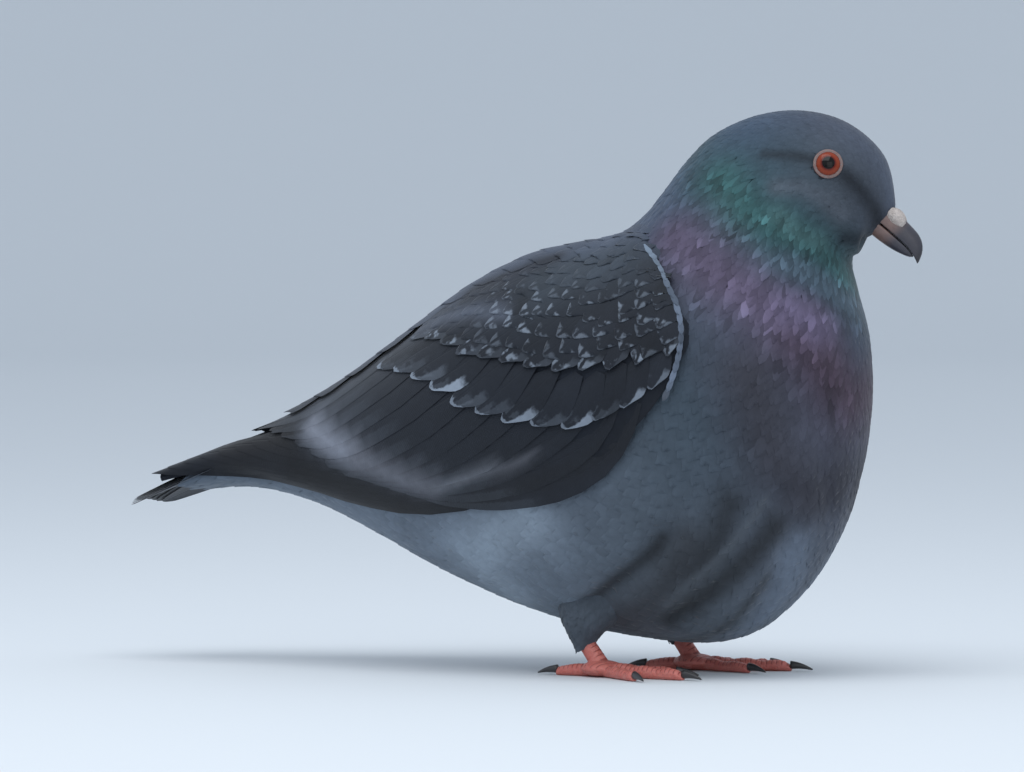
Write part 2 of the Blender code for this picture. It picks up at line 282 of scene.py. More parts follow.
# %% A node group
def node_group(name, inputs, outputs):
    group = bpy.data.node_groups.new(name, "ShaderNodeTree")
    for kind, socket, value in inputs:
        made = group.interface.new_socket(name=socket, in_out="INPUT", socket_type=kind)
        if value is not None:
            made.default_value = value
    for kind, socket in outputs:
        group.interface.new_socket(name=socket, in_out="OUTPUT", socket_type=kind)
    return group, group.nodes.new("NodeGroupInput"), group.nodes.new("NodeGroupOutput")

# %% [markdown]
# The same few nodes come up again and again: a sum or a product, a mix of two colours, and noise. A helper
# for each makes the node, sets or links its inputs, and hands back its output.

# %% Node helpers
def math_node(tree, operation, a, b=None, clamp=False):
    node = tree.nodes.new("ShaderNodeMath")
    node.operation = operation
    node.use_clamp = clamp
    for socket, value in zip(node.inputs, (a, b)):
        if isinstance(value, (int, float)):
            socket.default_value = value
        elif value is not None:
            tree.links.new(value, socket)
    return node.outputs[0]


def mix_colour(tree, factor, a, b, blend="MIX"):
    node = tree.nodes.new("ShaderNodeMix")
    node.data_type = "RGBA"
    node.blend_type = blend
    for socket, value in ((node.inputs[0], factor), (node.inputs[6], a), (node.inputs[7], b)):
        if isinstance(value, (int, float)):
            socket.default_value = value
        elif isinstance(value, tuple):
            socket.default_value = (*value, 1)
        else:
            tree.links.new(value, socket)
    return node.outputs[2]


def noise(tree, vector, scale, detail=3.0, roughness=0.55):
    node = tree.nodes.new("ShaderNodeTexNoise")
    node.inputs["Scale"].default_value = scale
    node.inputs["Detail"].default_value = detail
    node.inputs["Roughness"].default_value = roughness
    tree.links.new(vector, node.inputs["Vector"])
    return node.outputs["Fac"]


def new_material(name, roughness, metallic=0.0, specular=0.5):
    made = bpy.data.materials.new(name)
    made.use_nodes = True
    tree = made.node_tree
    shader = tree.nodes["Principled BSDF"]
    shader.inputs["Roughness"].default_value = roughness
    shader.inputs["Metallic"].default_value = metallic
    shader.inputs["Specular IOR Level"].default_value = specular
    return made, tree, shader

# %% [markdown]
# ### Barbs
# A vane is a comb of barbs that leave the shaft at a slant. On a map of each feather, with x across and y
# along in centimetres, the slant is a stripe pattern of y minus a part of |x|. The stripes give a faint
# bump, and a thin ridge marks the shaft.

# %% The barb group
barbs, g_in, g_out = node_group(
    "barbs",
    [
        ("NodeSocketVector", "Map", None),
        ("NodeSocketFloat", "Per centimetre", 14.0),
        ("NodeSocketFloat", "Shaft", 0.5),
    ],
    [("NodeSocketFloat", "Height")],
)
split = barbs.nodes.new("ShaderNodeSeparateXYZ")
barbs.links.new(g_in.outputs["Map"], split.inputs[0])
across = math_node(barbs, "ABSOLUTE", split.outputs[0])
slanted = math_node(barbs, "SUBTRACT", split.outputs[1], math_node(barbs, "MULTIPLY", across, 1.3))
wobble = math_node(barbs, "MULTIPLY", noise(barbs, g_in.outputs["Map"], 3.0), 0.25)
wavy = math_node(barbs, "ADD", slanted, wobble)
stripes = math_node(barbs, "MULTIPLY", wavy, g_in.outputs["Per centimetre"])
ridge = math_node(barbs, "PINGPONG", stripes, 0.5)
shaft = math_node(barbs, "SUBTRACT", 1.0, math_node(barbs, "MULTIPLY", across, 22.0), clamp=True)
shaft = math_node(barbs, "MULTIPLY", shaft, g_in.outputs["Shaft"])
barbs.links.new(math_node(barbs, "ADD", ridge, shaft), g_out.inputs["Height"])
print("barb group:", len(barbs.nodes), "nodes")

# %% [markdown]
# ### Mottling
# No two feathers are quite alike, and light, dust and wear shift their colour over the body. The group
# takes the stored colour and makes it a little lighter or darker with two sizes of noise.

# %% The mottling group
mottle, g_in, g_out = node_group(
    "mottle",
    [
        ("NodeSocketColor", "Colour", (0.1, 0.1, 0.1, 1)),
        ("NodeSocketVector", "Place", None),
        ("NodeSocketFloat", "Amount", 0.3),
    ],
    [("NodeSocketColor", "Colour")],
)
broad = math_node(mottle, "MULTIPLY", noise(mottle, g_in.outputs["Place"], 45.0, 2.0), 0.6)
fine = math_node(mottle, "MULTIPLY", noise(mottle, g_in.outputs["Place"], 420.0, 3.0), 0.4)
both = math_node(mottle, "ADD", broad, fine)
gain = math_node(mottle, "MULTIPLY", math_node(mottle, "SUBTRACT", both, 0.5), g_in.outputs["Amount"])
gain = math_node(mottle, "ADD", math_node(mottle, "MULTIPLY", gain, 2.0), 1.0)
grey = mottle.nodes.new("ShaderNodeCombineColor")
for socket in grey.inputs:
    mottle.links.new(gain, socket)
toned = mix_colour(mottle, 1.0, g_in.outputs["Colour"], grey.outputs[0], "MULTIPLY")
mottle.links.new(toned, g_out.inputs["Colour"])
print("mottling group:", len(mottle.nodes), "nodes")

# %% [markdown]
# ### Grain
# Horn, cere, lids and leg skin have pores and small pits. One group gives their height: fine noise over
# coarser cells, in any mix.

# %% The grain group
grain, g_in, g_out = node_group(
    "grain",
    [
        ("NodeSocketVector", "Place", None),
        ("NodeSocketFloat", "Cells per metre", 900.0),
        ("NodeSocketFloat", "Cell share", 0.5),
    ],
    [("NodeSocketFloat", "Height")],
)
cells = grain.nodes.new("ShaderNodeTexVoronoi")
cells.feature = "F1"
grain.links.new(g_in.outputs["Place"], cells.inputs["Vector"])
grain.links.new(g_in.outputs["Cells per metre"], cells.inputs["Scale"])
pits = math_node(grain, "MULTIPLY", cells.outputs["Distance"], g_in.outputs["Cell share"])
pores = noise(grain, g_in.outputs["Place"], 1500.0)
grain.links.new(math_node(grain, "ADD", pits, pores), g_out.inputs["Height"])
print("grain group:", len(grain.nodes), "nodes")

# %% [markdown]
# ### Reading what a mesh holds
# A material can read a colour or number that is stored on the mesh, one of its maps, or the place in the
# object. One helper fetches each. *band* makes a mask with soft ends of any value, and such masks draw most
# of the marks.

# %% Fetching values
def attribute(tree, name, output="Color"):
    node = tree.nodes.new("ShaderNodeAttribute")
    node.attribute_name = name
    return node.outputs[output]


def uv_map(tree, name):
    node = tree.nodes.new("ShaderNodeUVMap")
    node.uv_map = name
    return node.outputs[0]


def object_place(tree):
    return tree.nodes.new("ShaderNodeTexCoord").outputs["Object"]


def use_group(tree, group, **values):
    node = tree.nodes.new("ShaderNodeGroup")
    node.node_tree = group
    for socket, value in values.items():
        socket = node.inputs[socket.replace("_", " ")]
        if isinstance(value, (int, float)):
            socket.default_value = value
        else:
            tree.links.new(value, socket)
    return node.outputs[0]


def band(tree, value, start, full):
    """0 below start, 1 above full; or the other way round when full is the smaller."""
    node = tree.nodes.new("ShaderNodeMapRange")
    node.interpolation_type = "SMOOTHSTEP"
    node.inputs["From Min"].default_value = min(start, full)
    node.inputs["From Max"].default_value = max(start, full)
    if start > full:
        node.inputs["To Min"].default_value, node.inputs["To Max"].default_value = 1.0, 0.0
    tree.links.new(value, node.inputs["Value"])
    return node.outputs[0]

# %% [markdown]
# ### The check pattern
# Checkered wing feathers have a pale spot on each side of the shaft near the tip, a pale tip and a pale
# outer edge. They could be painted on the mesh's points, but a feather has few of those. Masks on the
# feather's own map stay sharp at any size. The colour stored as *marks* says how strong spot, tip and edge
# are on each feather.

# %% The check marks
MARK_COLOUR = (0.235, 0.275, 0.335)


def with_marks(tree, colour):
    """The feather's colour with its pale marks laid over it."""
    vane = tree.nodes.new("ShaderNodeSeparateXYZ")
    tree.links.new(uv_map(tree, "Vane"), vane.inputs[0])
    marks = tree.nodes.new("ShaderNodeSeparateColor")
    tree.links.new(attribute(tree, "marks"), marks.inputs[0])
    place = object_place(tree)
    uneven = math_node(tree, "SUBTRACT", noise(tree, place, 700.0), 0.5)
    ragged = math_node(tree, "MULTIPLY", uneven, 0.12)
    x = math_node(tree, "ADD", vane.outputs[0], ragged)
    y = math_node(tree, "ADD", vane.outputs[1], ragged)
    off_shaft = math_node(tree, "ABSOLUTE", math_node(tree, "SUBTRACT", x, 0.5))
    spot = math_node(tree, "MULTIPLY", band(tree, y, 0.7, 0.79), band(tree, y, 0.985, 0.93))
    inner, outer = band(tree, off_shaft, 0.04, 0.1), band(tree, off_shaft, 0.42, 0.32)
    spot = math_node(tree, "MULTIPLY", spot, math_node(tree, "MULTIPLY", inner, outer))
    spot = math_node(tree, "MULTIPLY", spot, band(tree, noise(tree, place, 230.0), 0.44, 0.56))
    tip = band(tree, y, 0.945, 0.975)
    edge = math_node(tree, "MULTIPLY", band(tree, x, 0.27, 0.2), band(tree, y, 0.52, 0.64))
    for mask, part in ((spot, 0), (tip, 1), (edge, 2)):
        strength = math_node(tree, "MULTIPLY", mask, marks.outputs[part], clamp=True)
        colour = mix_colour(tree, strength, colour, MARK_COLOUR)
    return colour

# %% [markdown]
# ### Plumage
# Every feather carries its colour as *plumage*, and a number called *gloss* that is high where the neck
# shimmers. Gloss lowers the roughness and lets a part of the light reflect in the feather's own colour, as
# a metal does, which is how a pigeon's neck looks. The coat is soft and matt. Coverts are firmer, and
# flight feathers the firmest, with coarse barbs and a shaft that stands up.

# %% The plumage materials
BARB_DEPTH = 0.00012  # metres


def bump(tree, shader, height, strength, distance):
    node = tree.nodes.new("ShaderNodeBump")
    node.inputs["Strength"].default_value = strength
    node.inputs["Distance"].default_value = distance
    tree.links.new(height, node.inputs["Height"])
    tree.links.new(node.outputs[0], shader.inputs["Normal"])


def plumage_material(name, roughness, barb_bump, per_centimetre, shaft, checkered=False):
    made, tree, shader = new_material(name, roughness, specular=0.2)
    shader.inputs["Sheen Weight"].default_value = 0.12
    shader.inputs["Sheen Roughness"].default_value = 0.45
    colour = attribute(tree, "plumage")
    if checkered:
        colour = with_marks(tree, colour)
    colour = use_group(tree, mottle, Colour=colour, Place=object_place(tree), Amount=0.45)
    tree.links.new(colour, shader.inputs["Base Color"])
    gloss = attribute(tree, "gloss", "Fac")
    tree.links.new(math_node(tree, "MULTIPLY", gloss, 0.45), shader.inputs["Metallic"])
    smoother = math_node(tree, "SUBTRACT", roughness, math_node(tree, "MULTIPLY", gloss, 0.34))
    tree.links.new(smoother, shader.inputs["Roughness"])
    height = use_group(tree, barbs, Map=uv_map(tree, "Barbs"), Per_centimetre=per_centimetre, Shaft=shaft)
    bump(tree, shader, height, barb_bump, BARB_DEPTH)
    return made


coat_material = plumage_material("coat_feathers", 0.78, 0.35, 16.0, 0.2)
covert_material = plumage_material("covert_feathers", 0.66, 0.4, 13.0, 0.9, checkered=True)
flight_material = plumage_material("flight_feathers", 0.58, 0.5, 9.0, 2.2, checkered=True)
print("plumage materials:", coat_material.name, covert_material.name, flight_material.name)

# %% [markdown]
# ## Laying feathers
# Thousands of feathers can't be placed by hand. A particle system could scatter them, but it knows nothing
# of the bird's stations. Here a feather is a strip of a flat grid, made once by the grid operator. Its
# middle line is walked over the body's form from root to tip, its width is stepped off to both sides in the
# form's own tangent, and its height rises from root to tip so that it covers the next one, as roof tiles
# do. All copies are joined into one mesh.

# %% Walking over a surface
def tangents(surface, station, angle, out):
    """Steps of a surface along its stations and its angles, in metres per station and per degree."""
    along = (surface(station + 0.02, angle, out) - surface(station - 0.02, angle, out)) / 0.04
    around = (surface(station, angle + 0.5, out) - surface(station, angle - 0.5, out)) / 1.0
    return along, around


def step(surface, station, angle, out, reach, heading, aside=0.0):
    """Moves reach metres over a surface. heading turns it from straight back about the outward normal."""
    along, around = tangents(surface, station, angle, out)
    outward = np.cross(around, along)
    outward /= np.linalg.norm(outward, axis=-1, keepdims=True)
    back = -along / np.linalg.norm(along, axis=-1, keepdims=True)
    side = np.cross(outward, back)
    heading = np.asarray(heading, float)[..., None]
    ahead = back * np.cos(heading) + side * np.sin(heading)
    across = np.cross(outward, ahead)
    move = ahead * np.asarray(reach, float)[..., None] + across * np.asarray(aside, float)[..., None]
    aa, ab, bb = (along * along).sum(-1), (along * around).sum(-1), (around * around).sum(-1)
    ra, rb = (move * along).sum(-1), (move * around).sum(-1)
    scale = aa * bb - ab * ab
    return station + (ra * bb - rb * ab) / scale, angle + (rb * aa - ra * ab) / scale


here = np.full(1, 8.0), np.full(1, 0.0)
print("a step of 5 mm back leads to station", step(body_points, *here, 0.0, 5 * MM, np.zeros(1))[0].round(2))

# %% [markdown]
# ### Pieces of the bird
# Every finished mesh goes the same last way: it gets one material and smooth shading, becomes an object,
# rides on the bird's one body, and hides the solids that it stands for. Colours and numbers that a material
# will read are kept at its points.

# %% Meshes and pieces
FIELDS = {"FLOAT": "value", "FLOAT_VECTOR": "vector", "FLOAT_COLOR": "color"}


def store(mesh, title, kind, values):
    """Keeps a number, a vector or a colour at each point of a mesh."""
    values = np.asarray(values, np.float32)
    if kind == "FLOAT_COLOR":
        values = values.reshape(-1, 3)
        values = np.column_stack([values, np.ones(len(values), np.float32)])
    mesh.attributes.new(title, kind, "POINT").data.foreach_set(FIELDS[kind], values.ravel())


def piece_of(name, mesh, material, slot, *nodes):
    """A mesh becomes a smooth piece of the bird, in place of these solids."""
    mesh.materials.clear()
    mesh.materials.append(material)
    mesh.shade_smooth()
    piece = bpy.data.objects.new(name, mesh)
    bpy.context.collection.objects.link(piece)
    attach(piece, "root")
    if nodes:
        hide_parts(*nodes)
    return piece

# %% [markdown]
# ### One feather, many times
# The grid operator makes one flat vane. Its points are then moved for each feather, and all copies become
# one mesh from arrays, since an operator call for each of thousands of feathers would take minutes.

# %% Copies of a vane
def vane_pattern(columns, rows):
    """A flat strip from the grid operator: -1 to 1 across, and 0 to 1 along it with more rows near 1."""
    bm = bmesh.new()
    bmesh.ops.create_grid(bm, x_segments=columns, y_segments=rows, size=1.0)
    points = np.array([vert.co for vert in bm.verts])
    faces = np.array([[vert.index for vert in face.verts] for face in bm.faces])
    bm.free()
    return points[:, 0], 1 - (0.5 - points[:, 1] / 2) ** 1.5, faces


def joined(name, points, faces, maps, colours, numbers):
    """One mesh from arrays: maps are UVs, and colours and numbers are stored, all of them point by point."""
    mesh = bpy.data.meshes.new(name)
    mesh.from_pydata(points.reshape(-1, 3).tolist(), [], faces.reshape(-1, faces.shape[-1]).tolist())
    corners = faces.ravel()
    for title, values in maps.items():
        layer = mesh.uv_layers.new(name=title)
        layer.data.foreach_set("uv", values.reshape(-1, 2)[corners].astype(np.float32).ravel())
    for title, values in colours.items():
        store(mesh, title, "FLOAT_COLOR", values)
    for title, values in numbers.items():
        store(mesh, title, "FLOAT", values.ravel())
    return mesh


print("one small feather has", len(vane_pattern(4, 5)[2]), "faces")

# %% [markdown]
# A small feather of the coat walks from its root in a given heading. A long one of the wing or tail is led
# instead: its root and its tip are given, and its middle line may sag between them.

# %% Led feathers
def led(surface, roots, row):
    """Where each feather's middle line is, and which way it heads, at a row between its root and its tip."""
    span = np.asarray(roots["tip"]) - np.stack([roots["station"], roots["angle"]], -1)
    sag = np.broadcast_to(roots.get("sag", 0), len(span))
    station = roots["station"] + span[:, 0] * row
    angle = roots["angle"] + span[:, 1] * row - 4 * sag * row * (1 - row)
    along, around = tangents(surface, station, angle, 0.0)
    ahead = along * span[:, :1] + around * (span[:, 1] - 4 * sag * (1 - 2 * row))[:, None]
    back = -along / np.linalg.norm(along, axis=-1, keepdims=True)
    outward = np.cross(around, along)
    side = np.cross(outward / np.linalg.norm(outward, axis=-1, keepdims=True), back)
    return station, angle, np.arctan2((ahead * side).sum(-1), (ahead * back).sum(-1))

# %% [markdown]
# A vane widens from its root and ends blunt. Its edges are pulled back near the tip, which rounds it, and a
# random part of that pull leaves the tips ragged. Along its way it rises off the surface, so that it covers
# the next feather, and its edges droop. Its colour darkens towards the root as painted shade where the next
# feather covers it, most on glossy feathers.

# %% Laying vanes
SQUARE = 0.55  # share of its length from which a vane narrows, unless its roots say another
USUAL = {"lift": -1.0, "rise": 1.2, "cup": 0.35, "bank": 0, "ragged": 0.1, "gloss": 0}


def vane_width(along, square):
    """Width of a vane at shares of its length, as a share of its full width."""
    blunt = 1 - np.clip((along - square) / (1.02 - square), 0, 1) ** 2.5
    return np.clip(0.3 + 1.5 * along, 0, 1) * np.sqrt(blunt)


def vane_points(surface, roots, extra, across, along, paint):
    """Points of all the feathers and the colour at each of them, row by row from root to tip."""
    long, wide = roots["long"], roots["wide"]
    outline = vane_width(along, roots.get("square", SQUARE))
    rows = np.unique(along.round(6))
    station, angle = np.array(roots["station"], float), np.array(roots["angle"], float)
    count = len(station)
    points, colour = np.zeros((count, len(across), 3)), np.zeros((count, len(across), 3))
    chance = np.random.default_rng(count)
    for index, row in enumerate(rows):
        if "tip" in roots:
            station, angle, heading = led(surface, roots, row)
        else:
            heading = roots["heading"]
            if index:
                reach = long * MM * (row - rows[index - 1])
                station, angle = step(surface, station, angle, 0.0, reach, heading)
        for k in np.flatnonzero(np.isclose(along, row, atol=1e-5)):
            pull = -wide * MM * outline[k] * across[k] ** 2 * ease(row, 0.6, 1.0) * 0.8
            pull = pull - long * MM * ease(row, 0.85, 1.0) * extra["ragged"] * chance.random(count)
            s, a = step(surface, station, angle, 0.0, pull, heading, wide * MM * outline[k] * across[k])
            height = extra["lift"] + extra["rise"] * row**0.8 - extra["bank"] * across[k]
            height = height - extra["cup"] * across[k] ** 2 * (0.4 + 0.6 * row)
            points[:, k] = surface(s, a, height)
            # painted shade: darker towards the root, where the next feather covers it, and much more on
            # glossy feathers
            shade = 1 + (0.12 + 0.5 * extra["gloss"])[:, None] * (row - 0.75)
            colour[:, k] = (roots["colour"] if paint is None else paint(s, a)) * shade
    return points, colour if paint is None else colour * roots["colour"][:, None]

# %% [markdown]
# Each feather needs three maps: *Vane* runs from 0 to 1 over it for its marks, *Barbs* is in centimetres,
# and *OFBake* gives it a place of its own for a baked colour. Large feathers get a square of an atlas each.
# A small one has one tone, so a tiny patch is enough, placed by where it grows.

# %% Laying a tract
def bake_map(roots, vane_map, across, along, atlas):
    if not atlas:
        return roots["bake"][:, None] + np.stack([across, along * 2 - 1], -1) * 0.0015
    number = np.arange(len(vane_map))
    corner = np.stack([number % atlas, number // atlas], -1)[:, None] / atlas
    return corner + (0.06 + 0.88 * vane_map) / atlas


def lay(name, surface, roots, pattern, material, slot, nodes=(), atlas=None, paint=None, mirrored=False):
    """Lays feathers over a surface. paint gives a colour at every point, which roots' own colour then tones.

    roots holds arrays: station, angle, heading, long and wide (half) in millimetres, colour and gloss. It may
    hold tip and sag in place of heading, and square, bake, marks, lift, rise, cup, bank and ragged.
    """
    across, along, faces = vane_pattern(*pattern)
    count, size = len(roots["station"]), len(across)
    extra = {}
    for key, usual in USUAL.items():
        extra[key] = np.broadcast_to(np.asarray(roots.get(key, usual), float), count)
    points, colour = vane_points(surface, roots, extra, across, along, paint)
    outline = vane_width(along, roots.get("square", SQUARE))
    vane_map = np.broadcast_to(np.stack([across / 2 + 0.5, along], -1), (count, size, 2))
    barb_map = np.stack([across * outline * roots["wide"][:, None], along * roots["long"][:, None]], -1) / 10
    maps = {"Vane": vane_map, "Barbs": barb_map, "OFBake": bake_map(roots, vane_map, across, along, atlas)}
    marks = roots.get("marks", np.zeros((count, 3)))
    colours = {"plumage": colour, "marks": np.broadcast_to(marks[:, None], (count, size, 3))}
    gloss = np.broadcast_to(extra["gloss"][:, None], (count, size))
    if mirrored:
        faces = faces[:, ::-1]
    faces = faces + np.arange(count)[:, None, None] * size
    mesh = joined(name, points, faces, maps, colours, {"gloss": gloss})
    print(name, count, "feathers,", 2 * len(mesh.polygons), "triangles")
    return piece_of(name, mesh, material, slot, *nodes)

# %% [markdown]
# ## The colours of the bird
# A blue checker is slate on the head and back and paler on the belly. Its neck shimmers green, with a mauve
# band below, because thin layers in the barbules reflect those colours. The base colour is a table along
# the body for the back, the flank and the belly; towards the bill its underside darkens as painted shade
# under the head. Patches are then laid over it as soft strokes between spots of the form, each with its
# own width. Most are the plumage's own colours, but some are painted shade in the belly's clefts, in front
# of the eye and under the bill, one is a painted highlight on the ridge of a fold, and one is painted rim
# light from the sky on the lower breast. Skin and feathers both ask the same function, so a gap between
# feathers never shows another colour.

# %% The plumage colour
BASE = (  # station, then linear colours of the back, the side and the underside
    (0, (0.05, 0.062, 0.085), (0.06, 0.075, 0.1), (0.085, 0.105, 0.135)),
    (2, (0.09, 0.115, 0.15), (0.11, 0.14, 0.18), (0.13, 0.165, 0.21)),
    (4, (0.12, 0.15, 0.195), (0.14, 0.175, 0.22), (0.15, 0.185, 0.235)),
    (6, (0.07, 0.09, 0.13), (0.13, 0.16, 0.205), (0.13, 0.165, 0.21)),
    (8, (0.07, 0.09, 0.135), (0.072, 0.092, 0.118), (0.085, 0.105, 0.13)),
    (9.6, (0.066, 0.085, 0.125), (0.042, 0.06, 0.08), (0.08, 0.095, 0.125)),
    (11.4, (0.048, 0.072, 0.115), (0.055, 0.06, 0.09), (0.05, 0.045, 0.07)),
    (12.6, (0.042, 0.07, 0.108), (0.04, 0.07, 0.095), (0.042, 0.07, 0.1)),
    (13.8, (0.048, 0.074, 0.115), (0.042, 0.068, 0.09), (0.04, 0.06, 0.085)),
    # from here to the bill the underside is darker than the back, as painted shade under the head
    (15.5, (0.057, 0.069, 0.098), (0.056, 0.07, 0.089), (0.046, 0.06, 0.078)),
    (17.2, (0.066, 0.081, 0.114), (0.056, 0.067, 0.088), (0.044, 0.056, 0.074)),
    (19, (0.064, 0.078, 0.11), (0.042, 0.05, 0.066), (0.034, 0.044, 0.058)),
)
PATCHES = (  # spots of station and elevation, half width in millimetres, colour, gloss, strength
    (((6.6, -22), (5.8, -44), (5.9, -64)), 12, (0.25, 0.305, 0.37), 0.0, 0.9),
    # painted shade of the belly's folds: a broad dark stroke along the upper cleft, and a darker one between
    # clefts
    (((8.5, -36), (7.9, -46), (7.2, -62)), 9, (0.036, 0.04, 0.048), 0.0, 0.85),
    (((9.3, -36), (8.9, -41), (8.4, -44)), 5.5, (0.02, 0.023, 0.028), 0.0, 0.8),
    # painted rim light from the sky on the lower breast
    (((9.5, -70), (8.9, -80), (8.2, -85)), 7, (0.14, 0.175, 0.23), 0.0, 0.8),
    (((10.6, -20), (10.1, -42), (10.0, -64), (10.3, -80)), 11, (0.036, 0.036, 0.047), 0.1, 0.85),
    # a painted highlight on the ridge between two clefts
    (((9.6, -47), (8.95, -46), (8.3, -47), (7.8, -53)), 1.9, (0.09, 0.105, 0.125), 0.0, 0.6),
    # painted shade in three clefts
    (((9.5, -56), (8.85, -54), (8.3, -55), (7.7, -62)), 5.0, (0.016, 0.018, 0.021), 0.0, 0.85),
    (((8.2, -31), (8.0, -34), (7.35, -45), (6.9, -57)), 2.5, (0.016, 0.018, 0.022), 0.0, 0.85),
    (((9.0, -66), (8.25, -71), (7.6, -80)), 2.4, (0.03, 0.035, 0.042), 0.0, 0.7),
    (((10.9, 36), (11.25, 8), (11.5, -14), (11.65, -36)), 9, (0.1, 0.08, 0.13), 0.6, 0.95),
    (((11.6, -36), (11.3, -60), (11.2, -75), (11.3, -88)), 9, (0.062, 0.042, 0.062), 0.5, 0.9),
    (((11.75, -26), (11.85, -42)), 6, (0.125, 0.105, 0.175), 0.6, 0.75),
    (((12.35, 76), (12.4, 60), (12.3, 45)), 9, (0.035, 0.068, 0.08), 0.4, 0.6),
    (((12.6, 36), (12.6, 12), (12.95, -12), (13.25, -34), (13.35, -60), (13.35, -88)),
     8, (0.026, 0.076, 0.08), 0.8, 1.0),
    (((12.4, -16), (12.62, -32), (12.65, -60), (12.7, -88)), 4.0, (0.06, 0.088, 0.118), 0.6, 0.8),
    (((13.1, -3), (13.15, -18), (13.6, -34)), 3.5, (0.06, 0.125, 0.13), 0.8, 0.6),
    (((13.6, 9), (14.3, 1), (14.9, -9), (15.8, -22)), 2.9, (0.092, 0.106, 0.132), 0.05, 0.6),
    (((13.8, 32), (14.5, 24), (15.2, 19)), 1.9, (0.016, 0.02, 0.026), 0.0, 0.72),
    # painted shade in front of the eye and under the bill
    (((16.1, 13), (16.7, 8), (17.6, 7), (18.2, 2)), 3.0, (0.012, 0.015, 0.021), 0.0, 0.85),
    (((15.6, -48), (17.2, -46), (18.0, -60)), 3.0, (0.012, 0.017, 0.024), 0.0, 0.8),
)


def base_at(station, column):
    """The colour in one column of BASE at any station."""
    stops = [row[0] for row in BASE]
    return np.stack([np.interp(station, stops, [row[column][c] for row in BASE]) for c in range(3)], -1)


def plumage(station, angle):
    """Colour and gloss of the coat at spots of the body, with the painted shade and light among its patches.
    """
    raised = elevation(angle)
    back, flank, under = (base_at(station, column) for column in (1, 2, 3))
    up, down = ease(raised, 15, 70)[..., None], ease(-raised, 5, 65)[..., None]
    colour = flank + (back - flank) * up + (under - flank) * down
    gloss = np.zeros(raised.shape)
    here = on_left(station, angle)
    for spots, half, tint, shine, strength in PATCHES:
        away, _ = way_from(here, spots)
        cover = strength * np.exp(-((away / half) ** 2) * 0.9)
        colour = colour + (np.array(tint) - colour) * cover[..., None]
        gloss = gloss + (shine - gloss) * cover
    return colour, gloss


print("plumage:", len(BASE), "rows and", len(PATCHES), "patches")

# %% [markdown]
# ## One skin
# Under the coat the trunk, neck, head, tail and thighs are one piece of skin, so no seam can show between
# feathers. It could be the solids joined by a Boolean, but their facets would show at thin places. It is
# instead a grid wrapped round the form, a coat's depth inside it, with the two thighs let in. A voxel
# remesh makes them one.

# %% The thighs' form
FEET = {"right": (-17, -22), "left": (-4, 22)}  # x and y of the middle of each foot, in millimetres
THIGH = np.array([  # x, inward y, z, half length and half width of the feathered leg, from the foot's middle
    (-6.6, 0, 11, 4.3, 4.2),
    (-6.2, 0.5, 14, 6.4, 6.2),
    (-4.6, 2, 19, 11, 8.6),
    (0, 5, 26, 18, 11),
    (7, 9, 36, 28, 14),
])


def thigh_points(word, side):
    """A surface like coat_points for one thigh, from 0 at its lower rim to 4 inside the belly."""
    x, y = FEET[word]

    def points(station, angle, out=0.0):
        ring, turn = blended(THIGH, station), np.radians(angle)
        return np.stack([
            x + ring[..., 0] + (ring[..., 3] + out) * np.cos(turn),
            y - side * ring[..., 1] + (ring[..., 4] + out) * np.sin(turn),
            ring[..., 2] + 0 * turn,
        ], -1) * MM + FRAME_SHIFT

    return points


print("the right thigh ends in front at", thigh_points("right", -1)(0.0, 0.0).round(4))

# %% [markdown]
# The grid operator gives a flat sheet, and its points are then set on a surface. Where the sheet goes all
# the way round, its two edges are merged and its two open ends are filled, which closes it.

# %% Wrapped grids
def wrapped(bm, surface, stations, angles, segments, out):
    """A grid over a part of a surface. Gives back the station and the angle of each of its points."""
    grid = bmesh.ops.create_grid(bm, x_segments=segments[0], y_segments=segments[1], size=1.0)["verts"]
    flat = np.array([vert.co for vert in grid])
    station = stations[0] + (stations[1] - stations[0]) * (flat[:, 0] + 1) / 2
    angle = angles[0] + (angles[1] - angles[0]) * (flat[:, 1] + 1) / 2
    for vert, point in zip(grid, surface(station, angle, out(station, angle))):
        vert.co = point
    if angles[1] - angles[0] == 360:
        bmesh.ops.remove_doubles(bm, verts=grid, dist=1e-6)
        rims = [edge for edge in bm.edges if edge.is_boundary]
        bmesh.ops.holes_fill(bm, edges=rims, sides=0)
    return station, angle

# %% [markdown]
# A voxel remesh melts shells that lie in one another into one closed mesh. It works on an object, so the
# bmesh becomes one for a moment. The skin lies deeper below the large feathers of the belly than below the
# small ones of the face.

# %% The skin
SKIN_ENDS = (1.4, 18.9)  # stations
SKIN_DEPTH = (  # stations, and millimetres from the coat's form down to the skin at each
    (0, 11, 13.5, 15.5, 19),
    (1.4, 0.85, 0.65, 0.55, 0.45),
)
THIGH_SKIN_DEPTH = 1.4
SKIN_VOXEL = 0.0013


def melted(name, bm, voxel, soften=0):
    """One mesh of all the closed shells in a bmesh, smoothed soften times."""
    bmesh.ops.recalc_face_normals(bm, faces=bm.faces)
    rough_mesh = bpy.data.meshes.new(name)
    bm.to_mesh(rough_mesh)
    bm.free()
    rough = bpy.data.objects.new(name, rough_mesh)
    bpy.context.collection.objects.link(rough)
    remesh = rough.modifiers.new("one_skin", "REMESH")
    remesh.mode = "VOXEL"
    remesh.voxel_size = voxel
    if soften:
        smooth = rough.modifiers.new("soft", "SMOOTH")
        smooth.factor, smooth.iterations = 0.5, soften
    evaluated = rough.evaluated_get(bpy.context.evaluated_depsgraph_get())
    mesh = bpy.data.meshes.new_from_object(evaluated)
    bpy.data.objects.remove(rough)
    return mesh


